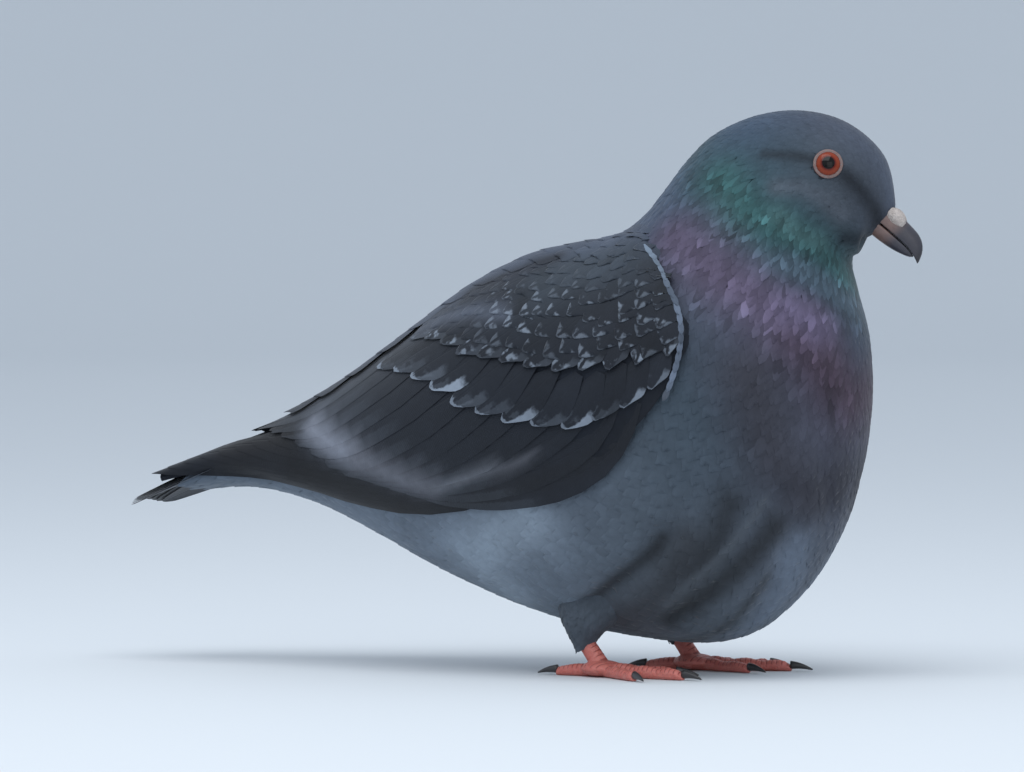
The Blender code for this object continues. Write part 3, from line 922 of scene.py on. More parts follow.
bm = bmesh.new()
wrapped(bm, coat_points, SKIN_ENDS, (-180, 180), (150, 96), lambda s, a: -np.interp(s, *SKIN_DEPTH))
for word, side in SIDES:
    surface = thigh_points(word, side)
    wrapped(bm, surface, (0.1, 3.8), (-180, 180), (12, 32), lambda s, a: -THIGH_SKIN_DEPTH + 0 * s)
skin_mesh = melted("rough_skin", bm, SKIN_VOXEL)
print("skin:", len(skin_mesh.polygons), "faces")

# %% [markdown]
# The skin's colour is the coat's, a little darker. Each vertex asks for the colour at the nearest spot of
# the form, which a tree of spots finds fast. On a real bird the skin is pink, but down of the coat's grey
# hides it.

# %% The skin's colour
SKIN_SHADE = 0.85
s_grid, a_grid = np.meshgrid(np.linspace(*SKIN_ENDS, 160), np.arange(-180, 180, 4.0), indexing="ij")
s_grid, a_grid = s_grid.ravel(), a_grid.ravel()
spots_tree = kdtree.KDTree(len(s_grid))
for index, point in enumerate(coat_points(s_grid, a_grid, -1.5)):
    spots_tree.insert(point, index)
spots_tree.balance()
nearest = [spots_tree.find(vert.co)[1] for vert in skin_mesh.vertices]
store(skin_mesh, "plumage", "FLOAT_COLOR", plumage(s_grid, a_grid)[0][nearest] * SKIN_SHADE)
skin_material, tree, shader = new_material("down", 0.85, specular=0.2)
place = object_place(tree)
down = use_group(tree, mottle, Colour=attribute(tree, "plumage"), Place=place, Amount=0.6)
tree.links.new(down, shader.inputs["Base Color"])
bump(tree, shader, noise(tree, place, 900.0), 0.6, 0.0004)
flesh = ("trunk", "neck", "head", "thigh_right", "thigh_left")
piece_of("skin", skin_mesh, skin_material, "grey_plumage", *flesh)
print("skin colours looked up in", len(s_grid), "spots")

# %% [markdown]
# ## The small feathers of the body
# Roots are thrown at random over the form and kept only where no other root is too near. That gives an even
# cover with no rows that the eye could catch, as on fluffed plumage. The distance between roots falls from
# 4 mm on the belly to 1 mm on the face, and a feather's size falls with it.

# %% Throwing the roots
SPACING = (  # stations, and millimetres between neighbouring roots at each
    (1.6, 4, 6, 9, 10.5, 12, 13.5, 15, 17, 18.8),
    (4.4, 4.2, 3.5, 3.1, 2.5, 1.95, 1.6, 1.35, 1.05, 0.85),
)
NEIGHBOURS = [(i, j, k) for i in (-1, 0, 1) for j in (-1, 0, 1) for k in (-1, 0, 1)]


def spacing(station):
    return np.interp(station, *SPACING)


def scatter(surface, stations, angles, apart, grows, chance, trials=45000):
    """Spots over a part of a surface, apart millimetres or more from each other, where grows allows them."""
    station, angle = chance.uniform(*stations, trials * 3), chance.uniform(*angles, trials * 3)
    along, around = tangents(surface, station, angle, 0.0)
    weight = np.linalg.norm(np.cross(along, around), axis=-1) / apart(station) ** 2
    chosen = (chance.random(trials * 3) < weight / weight.max()) & grows(station, angle)
    station, angle = station[chosen][:trials], angle[chosen][:trials]
    places, gaps = surface(station, angle) / MM, apart(station)
    homes = np.floor(places / gaps.max()).astype(int)
    taken, kept = {}, []
    for index, (place, home, gap) in enumerate(zip(places.tolist(), homes.tolist(), gaps)):
        cells = [(home[0] + i, home[1] + j, home[2] + k) for i, j, k in NEIGHBOURS]
        if all(math.dist(place, other) > gap for cell in cells for other in taken.get(cell, ())):
            taken.setdefault(tuple(home), []).append(place)
            kept.append(index)
    return station[kept], angle[kept]


print("roots stand", spacing(6), "mm apart on the belly and", spacing(17), "mm on the face")

# %% [markdown]
# No feather of the coat grows under the folded wing, where the skin is enough, or on the eye. Feathers lie
# backwards from their roots, so the clear space reaches further ahead of the eye than behind it.

# %% Bare places
EYE_CLEAR, AHEAD_CLEAR = 3.9, 4.8  # millimetres from the eye's axis, and from an axis a little ahead of it


def under_wing(station, angle, inside=5.0):
    upper, lower = wing_edges(station)
    raised = elevation(angle)
    return (station > 0.8) & (station < 10.25) & (raised > lower + inside) & (raised < upper - inside)


def near_eye(station, angle, clear):
    """True where a spot of the head is less than clear millimetres from the axis of an eye."""
    here = on_left(station, angle)
    return np.linalg.norm(here - np.array([EYE_AT[0], 16.2, EYE_AT[2]]), axis=-1) < clear


def belly_grows(station, angle):
    return ~under_wing(station, angle) & (elevation(angle) < 32)


def back_grows(station, angle):
    return ~under_wing(station, angle) & (elevation(angle) > 28)


def head_grows(station, angle):
    return ~near_eye(station, angle, EYE_CLEAR) & ~near_eye(station - 0.17, angle, AHEAD_CLEAR)


def grows_everywhere(station, angle):
    return station > 0

# %% [markdown]
# Feathers are alike but never the same. Length, width and heading vary a little at random, and the tone
# varies most where the neck shimmers, in soft drifts as well as from feather to feather. Neck feathers are
# the most slender.

# %% What a small feather needs
def coat_roots(station, angle, chance):
    """Size, tone and lie of small feathers, from where they grow."""
    size = spacing(station)
    slender = np.interp(station, (9.5, 11, 13.3, 14.5), (1, 0.82, 0.76, 0.92))
    gloss = plumage(station, angle)[1]
    count = len(station)
    drift = np.sin(station * 11 + 2 * np.sin(angle * 0.31)) * np.sin(angle * 0.55 + 3 * np.sin(station * 5))
    tone = np.exp(chance.normal(0, 1, count) * (0.035 + 0.3 * gloss) + 0.4 * gloss * drift)[:, None]
    return {
        "station": station,
        "angle": angle,
        "heading": chance.normal(0, 0.08, count),
        "long": size * chance.uniform(3.0, 3.6, count) / slender,
        "wide": size * chance.uniform(1.0, 1.2, count) * slender,
        "colour": tone * np.ones(3),
        "gloss": gloss,
        "lift": -0.13 * size - 0.1,
        "rise": 0.13 * size + 0.07,
        "cup": 0.07 * size,
        "ragged": 0.05,
        "square": 0.42 if station.mean() < 10 else 0.3,
        "bake": np.stack([(station + 0.5) / 20, (angle + 180) / 360 % 1], -1),
    }

# %% [markdown]
# Four tracts make up the coat. They overlap a little.

# %% The coat
COAT = (  # name, stations, angles, where it grows, mesh of one feather, finish
    ("belly_feathers", (1.7, 10.7), (-212, 32), belly_grows, (4, 5), "grey_plumage"),
    ("back_feathers", (1.7, 10.7), (22, 158), back_grows, (4, 5), "grey_plumage"),
    ("neck_feathers", (10.6, 13.8), (-180, 180), grows_everywhere, (4, 5), "neck_plumage"),
    ("head_feathers", (13.7, 18.95), (-180, 180), head_grows, (3, 4), "slate_plumage"),
)
DENSE = 0.93  # share of the spacing that roots of the coat keep from each other


def coat_paint(station, angle):
    return plumage(station, angle)[0]


chance = np.random.default_rng(11)
for name, stations, angles, grows, pattern, slot in COAT:
    station, angle = scatter(coat_points, stations, angles, lambda s: DENSE * spacing(s), grows, chance)
    lay(name, coat_points, coat_roots(station, angle, chance), pattern, coat_material, slot, paint=coat_paint)

# %% [markdown]
# The thighs carry the same feathers, pointing down to the bare leg. They take the belly's colour from a spot
# inside a cleft, painted shade included.

# %% Thigh feathers
# this spot lies in a cleft, so the thighs share its painted shade
LIKE_BELLY = (7.0, -58)  # the spot of the belly whose colour the thighs share
THIGH_GAP = 2.2  # millimetres between neighbouring roots
THIGH_TRIALS = 6000


def thigh_spacing(station):
    return THIGH_GAP + 0 * station


for word, side in SIDES:
    surface, grows = thigh_points(word, side), grows_everywhere
    station, angle = scatter(surface, (0.3, 3.9), (-180, 180), thigh_spacing, grows, chance, THIGH_TRIALS)
    belly_spots = LIKE_BELLY[0] + 0 * station, LIKE_BELLY[1] + 0 * angle
    roots = coat_roots(*belly_spots, chance)
    size = 1.9 + 0.5 * station
    roots |= {
        "station": station,
        "angle": angle,
        "long": size * (2.2 + 0.2 * station),
        "wide": size * 0.8,
        "colour": roots["colour"] * plumage(*belly_spots)[0],
        "lift": -0.9,
        "rise": 0.8,
        "bake": np.stack([station / 4, (angle + 180) / 360], -1),
    }
    lay(f"thigh_feathers_{word}", surface, roots, (4, 5), coat_material, "grey_plumage")

# %% [markdown]
# ## The wings
# A folded wing is a pack of tiles. Long primaries and secondaries lie at the bottom, and shorter coverts
# cover their bases in rows: greater, median and lesser. Each row is given by two lines over the wing, one
# through the roots and one through the tips, and the feathers are shared out between them. Every feather
# banks a little, so its lower edge lies on the next feather below it.

# %% The wing's colours
WING_TINT = {"shield": (0.012, 0.015, 0.022), "slate": (0.038, 0.049, 0.074), "flight": (0.009, 0.011, 0.016)}
WING_PATCHES = (  # spots, half width in millimetres, colour, strength
    (((9.9, 55), (8.6, 66), (7, 71), (5, 76), (3.4, 78)), 11, (0.05, 0.065, 0.1), 1.0),
    (((9.6, 44), (8.6, 48), (7.8, 46)), 10, (0.036, 0.047, 0.062), 0.85),
    (((5.2, 50), (5.9, 47), (6.5, 42), (7.0, 38)), 3.0, (0.085, 0.1, 0.135), 0.75),
    (((6.2, 56), (7.0, 54), (7.8, 57)), 3.0, (0.012, 0.015, 0.024), 0.9),
    (((3.3, 60), (4.4, 50), (5.2, 42)), 8, (0.026, 0.031, 0.042), 0.85),
    (((2.2, 42), (2.8, 34), (3.3, 22)), 6, (0.012, 0.012, 0.014), 0.95),
    (((3.75, 24), (4.05, 12), (4.45, 3)), 3.6, (0.2, 0.215, 0.26), 1.0),
    (((4.5, 2), (5.0, -6), (5.6, -12)), 3.2, (0.12, 0.125, 0.15), 0.9),
    (((6.6, -4), (5.7, -12)), 1.4, (0.13, 0.14, 0.165), 0.9),
    (((7.2, -1), (6.45, -8)), 1.2, (0.1, 0.105, 0.125), 0.85),
    # the wing's lower edge: its own dark flight feathers, darkened further as painted shadow under the edge
    (((3.3, -8), (4.1, -16), (4.8, -24), (5.3, -29)), 5, (0.007, 0.008, 0.011), 1.0),
    (((5.4, -25), (6.2, -16), (7.05, -9), (7.65, -5), (8.45, -2), (9.3, 1)), 3.5, (0.012, 0.014, 0.019), 0.9),
)


def wing_paint(base):
    """A function giving the wing's colour at spots over one of its tints, with painted shadow at its lower
    edge.
    """

    def paint(station, raised):
        colour = np.broadcast_to(np.array(WING_TINT[base]), (*station.shape, 3))
        here = form_points(station, raised)
        for spots, half, tint, strength in WING_PATCHES:
            away, _ = way_from(here, spots)
            cover = strength * np.exp(-((away / half) ** 2) * 0.8)
            colour = colour + (np.array(tint) - colour) * cover[:, None]
        return colour

    return paint


print("wing patches:", len(WING_PATCHES))

# %% [markdown]
# A row of feathers is a *tract*: a line of roots, a line of tips, and how many feathers are shared out
# between them. Rows can then be put together as one mesh.

# %% Tracts
PLAIN = {"lift": -1.0, "rise": 0.8, "cup": 0.3, "bank": 0.3, "ragged": 0.06, "gloss": 0.0, "sag": 0.0}


def shared_out(line, count):
    """Spots spread along a line of spots, by its length on the wing."""
    line = np.array(line, float)
    places = form_points(line[:, 0], line[:, 1])
    passed = np.concatenate([[0], np.cumsum(np.linalg.norm(np.diff(places, axis=0), axis=-1))])
    at = np.linspace(0, passed[-1], count)
    return np.stack([np.interp(at, passed, line[:, k]) for k in (0, 1)], -1)


def apart_on_form(spots, others):
    """Millimetres between spots of the form and others, pair by pair."""
    return np.linalg.norm(form_points(*spots.T) - form_points(*others.T), axis=-1)


def tract(roots_line, tips_line, count, wide, **more):
    """Feathers shared out between a line of roots and a line of tips."""
    root, tip = shared_out(roots_line, count), shared_out(tips_line, count)
    wide = np.atleast_1d(wide)
    made = {"station": root[:, 0], "angle": root[:, 1], "tip": tip, "long": apart_on_form(root, tip)}
    made["wide"] = np.interp(np.linspace(0, 1, count), np.linspace(0, 1, len(wide)), wide)
    made["colour"] = np.ones((count, 3))
    made["marks"] = np.zeros((count, 3))
    for key, value in more.items():
        made[key] = np.broadcast_to(value, made["marks"].shape if key == "marks" else (count,)).astype(float)
    return made


def together(*tracts):
    """Several tracts as one, with the plain value for what a tract leaves out."""
    made = {}
    for key in sorted(set().union(*tracts)):
        usual = PLAIN.get(key, 0.0)
        made[key] = np.concatenate([part.get(key, np.full(len(part["station"]), usual)) for part in tracts])
    return made

# %% [markdown]
# ### Flight feathers
# The primaries reach back to the tip of the wing and the secondaries end in a slant above them. The three
# innermost secondaries lie on top of all, near the back.

# %% Primaries and secondaries
PRIMARIES, SECONDARIES = 8, 13  # feathers of one folded wing
primaries = tract(
    ((6.8, 6), (6.6, -4), (6.4, -13)),
    ((2.9, 30), (1.9, 35), (0.8, 52)),
    PRIMARIES, (7.5, 8.5), lift=-1.7, rise=0.5, cup=0.2, bank=0.4, ragged=0.01,
)
primaries["sag"] = np.linspace(6, 31, PRIMARIES)
secondaries = tract(
    ((6.6, 66), (7.0, 40), (7.6, 20), (8.9, 5)),
    ((2.4, 66), (2.75, 44), (3.3, 22), (4.0, -2), (5.4, -15)),
    SECONDARIES, (10, 9, 8, 7.5, 6.5), lift=-1.25, rise=0.7, cup=0.3, bank=0.45, ragged=0.015,
)
secondaries["sag"] = np.linspace(0, 5, SECONDARIES)
secondaries["marks"][:, 2] = 0.06
for word, side in SIDES:
    surface, mirrored = wing_points(side), side < 0
    lay(f"primary_feathers_{word}", surface, primaries, (6, 16), flight_material, "flight_plumage",
        (f"primaries_{word}",), 4, wing_paint("flight"), mirrored)
    lay(f"secondary_feathers_{word}", surface, secondaries, (6, 14), flight_material, "flight_plumage",
        (), 4, wing_paint("shield"), mirrored)

# %% [markdown]
# ### Coverts
# The greater coverts end in a thin pale line, and the median ones in a row of pale spots. The lesser
# coverts carry a pale fleck on each web, which makes the check pattern, strongest in the middle of the
# shield.

# %% Greater and median coverts
IN_A_ROW = 12  # feathers
GREATER_TIPS = ((4.8, 43), (5.4, 29), (6.1, 14), (6.75, 8), (7.5, 5), (8.3, 6), (9.2, 5))
GREATER_ROOTS = ((6.2, 44), (6.6, 36), (7.1, 27), (7.7, 20), (8.3, 16), (9.1, 15), (9.9, 11))
MEDIAN_TIPS = ((5.3, 48), (6.2, 29), (6.8, 24), (7.4, 20), (8.35, 17), (9.2, 12), (9.75, 7))
MEDIAN_ROOTS = ((6.4, 50), (7.0, 38), (7.6, 33), (8.2, 29), (9.0, 26), (9.8, 20), (10.2, 14))
DASHES = (0.05, 0.1, 0.2, 0.95, 0.15, 0.1, 0.75, 0.15, 0.8, 0.1, 0.7, 0.4)  # how pale each outer edge is
FAINT = np.full(IN_A_ROW, 0.1)
chance = np.random.default_rng(5)
greater = tract(
    GREATER_ROOTS, GREATER_TIPS, IN_A_ROW, (8.0, 7.5, 6.5, 6.0, 4.5),
    lift=-0.75, rise=0.7, bank=0.35, ragged=0.02,
)
greater["marks"] = np.stack([FAINT, np.linspace(0.85, 0.35, IN_A_ROW), np.array(DASHES)], -1)
median = tract(
    MEDIAN_ROOTS, MEDIAN_TIPS, IN_A_ROW, (6.5, 6.5, 6.0, 5.5, 4.0),
    lift=-0.4, rise=0.7, bank=0.3, ragged=0.03,
)
median["marks"] = np.stack([chance.uniform(0.5, 1.0, IN_A_ROW), FAINT, FAINT], -1)
print("longest greater covert:", greater["long"].max().round(1), "mm")

# %% [markdown]
# The lesser coverts fill the shield from the median row up to its top. Each row is a blend of those two
# lines, and its roots lie a little forward of its tips. Near the front edge the rows would crowd, so no
# feather gets shorter than a given length. The check pattern fades out away from a line through the middle
# of the shield.

# %% Lesser coverts
SHIELD_TOP = ((6.0, 62), (7.0, 61), (8.2, 57), (9.2, 49), (9.9, 38), (10.25, 28))
CHECK_LINE = ((6.9, 38), (7.6, 32), (8.3, 28), (9.0, 24), (9.9, 17))
LESSER_ROWS = 8
LINE_SPOTS = 24
SHORTEST = 12  # millimetres


def fleck(station, raised):
    """How strongly the check pattern shows at a spot of the shield."""
    away, _ = way_from(form_points(station, raised), CHECK_LINE)
    return np.exp(-((away / 10) ** 2))


def lesser_row(share, count):
    """A row of lesser coverts, a share of the way from the median row to the top of the shield."""
    tips = shared_out(MEDIAN_TIPS, LINE_SPOTS) * (1 - share) + shared_out(SHIELD_TOP, LINE_SPOTS) * share
    forward = np.array([0.9 - 0.3 * share, 7.0 - 5.0 * share]) * np.linspace(1, 0.5, LINE_SPOTS)[:, None]
    forward = forward * np.maximum(SHORTEST / apart_on_form(tips + forward, tips), 1)[:, None]
    lie = {"lift": -0.1, "rise": 0.45, "bank": 0.1, "ragged": 0.03}
    made = tract(tips + forward, tips, count, (6.4, 5.8, 5.4, 4.8), **lie)
    shake = np.stack([chance.normal(0, 0.03, count), chance.normal(0, 0.9, count)], -1)
    made["tip"] = made["tip"] + shake
    made["station"] = np.minimum(made["station"] + shake[:, 0], 10.35)
    made["angle"] = made["angle"] + shake[:, 1]
    made["wide"] = made["wide"] * chance.uniform(0.85, 1.15, count)
    checks = fleck(*made["tip"].T)
    made["marks"][:, 0] = checks * chance.uniform(0.3, 1.0, count)
    made["marks"][:, 1] = 0.2 * checks
    return made


lesser = [lesser_row(row / LESSER_ROWS, 15 + row % 2) for row in range(1, LESSER_ROWS + 1)]
coverts = together(greater, median, *lesser)
coverts["colour"] = coverts["colour"] * np.exp(chance.normal(0, 0.1, len(coverts["long"])))[:, None]
print("coverts on one wing:", len(coverts["long"]))

# %% [markdown]
# ### Scapulars
# Plain slate scapulars run from the shoulder down the back and hide the bases of the inner secondaries.
# They lie in four lines between the top of the shield and the wing's upper edge. At the shoulder they grow
# from under the neck feathers, so their roots are sunk there.

# %% Scapulars
SCAPULAR_LINES = 4


def scapular_line(line):
    """One line of scapulars, from the rump to the shoulder."""
    stations = np.arange(3.0 + 0.22 * (line % 2), 10.1, 0.52)
    top = np.interp(stations, *np.array(SHIELD_TOP).T)
    upper, _ = wing_edges(stations)
    raised = top + 1 + (upper - top - 1) * line / 3.3
    forward = np.interp(stations, (3, 7, 10), (1.0, 0.95, 0.9))
    tips = np.stack([stations, raised], -1)
    roots = np.stack([np.minimum(stations + forward, 10.7), raised - 1.5], -1)
    made = tract(roots, tips, len(tips), 6.0, bank=0.1, ragged=0.06, marks=(0.0, 0.03, 0.0))
    return made | {
        "station": roots[:, 0],
        "angle": roots[:, 1],
        "tip": tips,
        "long": apart_on_form(roots, tips),
        "wide": np.interp(stations, (3, 7, 10), (8.0, 6.5, 4.0)),
        "lift": np.interp(stations, (8.8, 9.6), (0.1, -1.1)),
        "rise": np.interp(stations, (3, 7, 8.8, 9.6), (0.8, 0.7, 0.45, 1.6)),
    }


scapulars = together(*(scapular_line(line) for line in range(SCAPULAR_LINES)))
scapulars["colour"] = scapulars["colour"] * np.exp(chance.normal(0, 0.08, len(scapulars["long"])))[:, None]
print("scapulars on one wing:", len(scapulars["long"]))

# %% [markdown]
# ### The pale rim
# Along the wing's front edge the smallest coverts are pale and make a thin rim. Each of them reaches past
# the next one's root. With the rim, all rows over the flight feathers can be laid, on the right wing and
# then on the left.

# %% The rim and the shield
RIM = ((10.22, 45), (10.38, 34), (10.42, 22), (10.36, 13), (10.1, 6), (9.7, 2.5), (9.3, 0))
RIM_FEATHERS = 18
RIM_TONE = np.array([7.5, 7.4, 6.8])  # how much paler than the shield
rim_spots = shared_out(RIM, RIM_FEATHERS + 2)
rim = tract(rim_spots[:-2], rim_spots[2:], RIM_FEATHERS, 0.95, lift=0.1, rise=0.4, bank=0.0, ragged=0.15)
rim |= {"station": rim_spots[:-2, 0], "angle": rim_spots[:-2, 1], "tip": rim_spots[2:]}
rim["colour"] = RIM_TONE * np.exp(chance.normal(0, 0.25, RIM_FEATHERS))[:, None]
for word, side in SIDES:
    surface, mirrored = wing_points(side), side < 0
    shield, slate = wing_paint("shield"), wing_paint("slate")
    lay(f"covert_feathers_{word}", surface, coverts, (6, 8), covert_material, "wing_plumage",
        (f"wing_{word}",), 16, shield, mirrored)
    lay(f"scapular_feathers_{word}", surface, scapulars, (6, 8), covert_material, "wing_plumage",
        (), 12, slate, mirrored)
    lay(f"rim_feathers_{word}", surface, rim, (3, 5), coat_material, "wing_plumage", (), 8, shield, mirrored)

# %% [markdown]
# ### Under the wings
# A dark lining closes the space below the tiles, so that no light comes through between them.

# %% Wing linings
LINING_ENDS = (0.95, 10.3)  # stations
LINING_INSET = 1.5  # degrees inside the wing's edges


def lined(station, share):
    """Station and elevation of a spot of the lining, a share of the way from its lower to its upper edge."""
    upper, lower = wing_edges(station)
    return station, lower + LINING_INSET + (upper - lower - 2 * LINING_INSET) * share


def lining_surface(surface):
    return lambda station, share, out=0.0: surface(*lined(station, share), out)


def lining_depth(station, share):
    """Deep under the flight feathers and at the front edge, and close under the coverts between them."""
    return -2.7 + 1.5 * ease(station, 6.5, 8.0) * (1 - ease(station, 9.7, 10.2))


lining_material, tree, shader = new_material("wing_lining", 0.8, specular=0.2)
lining_tint = use_group(tree, mottle, Colour=attribute(tree, "plumage"), Place=object_place(tree), Amount=0.5)
tree.links.new(lining_tint, shader.inputs["Base Color"])
for word, side in SIDES:
    bm = bmesh.new()
    spots = wrapped(bm, lining_surface(wing_points(side)), LINING_ENDS, (0, 1), (60, 18), lining_depth)
    if side < 0:
        bmesh.ops.reverse_faces(bm, faces=bm.faces)
    mesh = bpy.data.meshes.new(f"wing_lining_{word}")
    bm.to_mesh(mesh)
    bm.free()
    store(mesh, "plumage", "FLOAT_COLOR", wing_paint("shield")(*lined(*spots)))
    piece_of(mesh.name, mesh, lining_material, "wing_plumage")
    print("wing lining", word, len(mesh.polygons), "faces")

# %% [markdown]
# ## The tail
# Twelve tail feathers lie stacked in a closed fan, the middle pair on top. They are laid on a flat surface
# of their own, which takes millimetres across the tail in place of an angle. A dark band crosses their
# ends.

# %% Tail feathers
TAIL_FEATHERS, TAIL_HALF = 12, 19  # how many, and half the tail's width in millimetres
TAIL_GREY = np.array([0.085, 0.105, 0.14])
TAIL_BAND = np.array([0.022, 0.026, 0.034])
TAIL_END = np.array([0.05, 0.06, 0.08])


def tail_points(station, across, out=0.0):
    station, across, out = np.broadcast_arrays(np.asarray(station, float), np.asarray(across, float), out)
    top = form_points(station, 90.0)
    arch = -2.2 * (across / TAIL_HALF) ** 2
    return np.stack([top[..., 0], across, top[..., 2] + arch + out], -1) * MM + FRAME_SHIFT


def tail_paint(station, across):
    band_share = (1 - ease(station, 0.75, 1.3))[:, None]
    end_share = (1 - ease(station, 0.0, 0.16))[:, None]
    colour = TAIL_GREY * (1 - band_share) + TAIL_BAND * band_share
    return colour + (TAIL_END - colour) * end_share


pairs = reversed(range(TAIL_FEATHERS // 2))
places = np.array([side * (pair + 0.5) for pair in pairs for side in (-1, 1)])  # from the outer pair inwards
tail = {
    "station": 4.3 - 0.05 * abs(places),
    "angle": places * 1.4,
    "tip": np.stack([0.02 + 0.012 * abs(places) ** 1.6, places * 2.05], -1),
    "long": np.full(TAIL_FEATHERS, 112.0),
    "wide": np.full(TAIL_FEATHERS, 10.5),
    "colour": np.ones((TAIL_FEATHERS, 3)),
    "lift": -0.2 - 0.5 * abs(places),
    "rise": 0.1,
    "cup": 0.25,
    "bank": np.sign(places) * 0.12,
    "ragged": 0.004,
}
lay("tail_feathers", tail_points, tail, (6, 18), flight_material, "tail_plumage", ("tail",), 4, tail_paint)

# %% [markdown]
# ## Eyes
# A pigeon's eye is an orange-red iris round a black pupil, under a clear wet cornea, in a ring of bare
# fleshy skin. The ball is a sphere whose pole points out of the head, so that the distance from the pole
# draws the pupil and the iris. The ring is a small bead spun round the same axis.

# %% The iris
PUPIL = (2.15, 1.9)  # millimetres from the pole, here and below
IRIS_GLOW, IRIS_LIMB = (2.0, 2.9), (3.3, 4.1)
eye_material, tree, shader = new_material("eye", 0.08, specular=0.22)
from_pole = attribute(tree, "from_pole", "Fac")
rays = noise(tree, attribute(tree, "rays", "Vector"), 9.0, 4.0)
uneven = math_node(tree, "MULTIPLY", math_node(tree, "SUBTRACT", rays, 0.5), 0.35)
ragged = math_node(tree, "ADD", from_pole, uneven)
iris = mix_colour(tree, band(tree, ragged, *IRIS_GLOW), (0.09, 0.009, 0.007), (0.22, 0.036, 0.014))
iris = mix_colour(tree, band(tree, ragged, *IRIS_LIMB), iris, (0.07, 0.009, 0.007))
iris = mix_colour(tree, band(tree, from_pole, *PUPIL), iris, (0.004, 0.003, 0.003))
tree.links.new(iris, shader.inputs["Base Color"])
print("eye material:", len(tree.nodes), "nodes")

# %% [markdown]
# Each ball is modelled round the origin with its pole upwards, marked with the distance from the pole, and
# then placed.

# %% Eyeballs
def finished(name, bm, material, slot, *nodes):
    """A bmesh becomes a piece of the bird, with its faces turned outwards."""
    bmesh.ops.recalc_face_normals(bm, faces=bm.faces)
    mesh = bpy.data.meshes.new(name)
    bm.to_mesh(mesh)
    bm.free()
    return piece_of(name, mesh, material, slot, *nodes)


def eyeball(word, placed):
    bm = bmesh.new()
    ball = bmesh.ops.create_uvsphere(bm, u_segments=48, v_segments=32, radius=EYE_RADIUS * MM)["verts"]
    flat = np.array([vert.co for vert in ball]) / MM
    bmesh.ops.transform(bm, matrix=placed, verts=ball)
    eye = finished(f"eyeball_{word}", bm, eye_material, "eye", f"eye_{word}")
    away = np.hypot(flat[:, 0], flat[:, 1]) + np.where(flat[:, 2] < 0, 6, 0)
    store(eye.data, "from_pole", "FLOAT", away)
    outwards = flat[:, :2] / np.maximum(away, 0.4)[:, None]
    store(eye.data, "rays", "FLOAT_VECTOR", np.column_stack([outwards, away * 0.05]))


print("eyeball:", round(2 * EYE_RADIUS, 1), "mm across")

# %% [markdown]
# ### Lids
# Two beads are spun round the eye's axis: the bare ring outside, and the thin edge of the lids on the ball.
# A little wave in their height makes the wrinkles of real lids.

# %% Eye rings
UP = (0, 0, 1)
RING_BEAD, LID_BEAD = (0.55, 0.32), (0.2, 0.2)  # half width and half height in millimetres
lid_material, tree, shader = new_material("eye_ring", 0.5, specular=0.4)
place = object_place(tree)
lid_tint = mix_colour(tree, noise(tree, place, 900.0), (0.13, 0.085, 0.08), (0.25, 0.17, 0.155))
tree.links.new(lid_tint, shader.inputs["Base Color"])
shader.inputs["Subsurface Weight"].default_value = 0.15
shader.inputs["Subsurface Scale"].default_value = 0.001
lid_grain = use_group(tree, grain, Place=place, Cells_per_metre=2600.0, Cell_share=0.8)
bump(tree, shader, lid_grain, 0.5, 0.0002)


def eye_ring(word, placed, coat_height):
    opening = math.sqrt(EYE_RADIUS**2 - (coat_height + 0.1) ** 2)
    bm = bmesh.new()
    for reach, height, bead in ((opening + 0.1, 0.0, RING_BEAD), (opening - 0.24, 0.2, LID_BEAD)):
        circle = bmesh.ops.create_circle(bm, segments=12, radius=MM)["verts"]
        rim_edges = [edge for edge in bm.edges if edge.verts[0] in circle]
        stood = Matrix.Translation((reach * MM, 0, (coat_height + height) * MM))
        stood = stood @ Matrix.Rotation(math.pi / 2, 4, "X") @ Matrix.Diagonal((*bead, 1, 1))
        bmesh.ops.transform(bm, matrix=stood, verts=circle)
        bmesh.ops.spin(
            bm, geom=circle + rim_edges, cent=(0, 0, 0), axis=UP, angle=2 * math.pi, steps=72, use_merge=True
        )
    bmesh.ops.remove_doubles(bm, verts=bm.verts, dist=1e-6)
    for vert in bm.verts:
        around = math.atan2(vert.co.y, vert.co.x)
        vert.co.z += 0.07 * MM * math.sin(around * 23) * math.sin(around * 7 + vert.co.length * 9000)
    bmesh.ops.transform(bm, matrix=placed, verts=bm.verts)
    finished(f"eye_ring_{word}", bm, lid_material, "slate_plumage")
    print(word, "lids open by", round(2 * opening, 1), "mm")


print("eye ring material:", len(tree.nodes), "nodes")

# %% [markdown]
# Each ball sits where its solid does. It looks out along the shortest way from its centre to the coat, and
# how far that is tells how large an opening the lids leave.

# %% Both eyes
def eye_frame(side):
    """Where an eye sits, with its axis as Z, and how many millimetres over its centre the coat passes."""
    s, a = (grid.ravel() for grid in np.meshgrid(np.linspace(14.8, 16.6, 91), np.linspace(-10, 50, 121)))
    a = a if side > 0 else 180 - a
    coat = coat_points(s, a)
    centre = head_turned((EYE_AT[0], side * EYE_AT[1], EYE_AT[2])) * MM + FRAME_SHIFT
    foot = coat[np.argmin(np.linalg.norm(coat - centre, axis=-1))] - centre
    looking = Vector(foot).normalized().to_track_quat("Z", "Y").to_matrix().to_4x4()
    return Matrix.Translation(Vector(centre)) @ looking, np.linalg.norm(foot) / MM


for word, side in SIDES:
    placed, coat_height = eye_frame(side)
    eyeball(word, placed)
    eye_ring(word, placed, coat_height)
    print(word, "eye looks along", [round(value, 2) for value in placed.col[2][:3]])

# %% [markdown]
# ## Bill and cere
# A bill's two mandibles change their oval section all the way to the tip. They could be carved from a
# block, but a loft says it directly: ovals are set along the bill's axis and bridged.

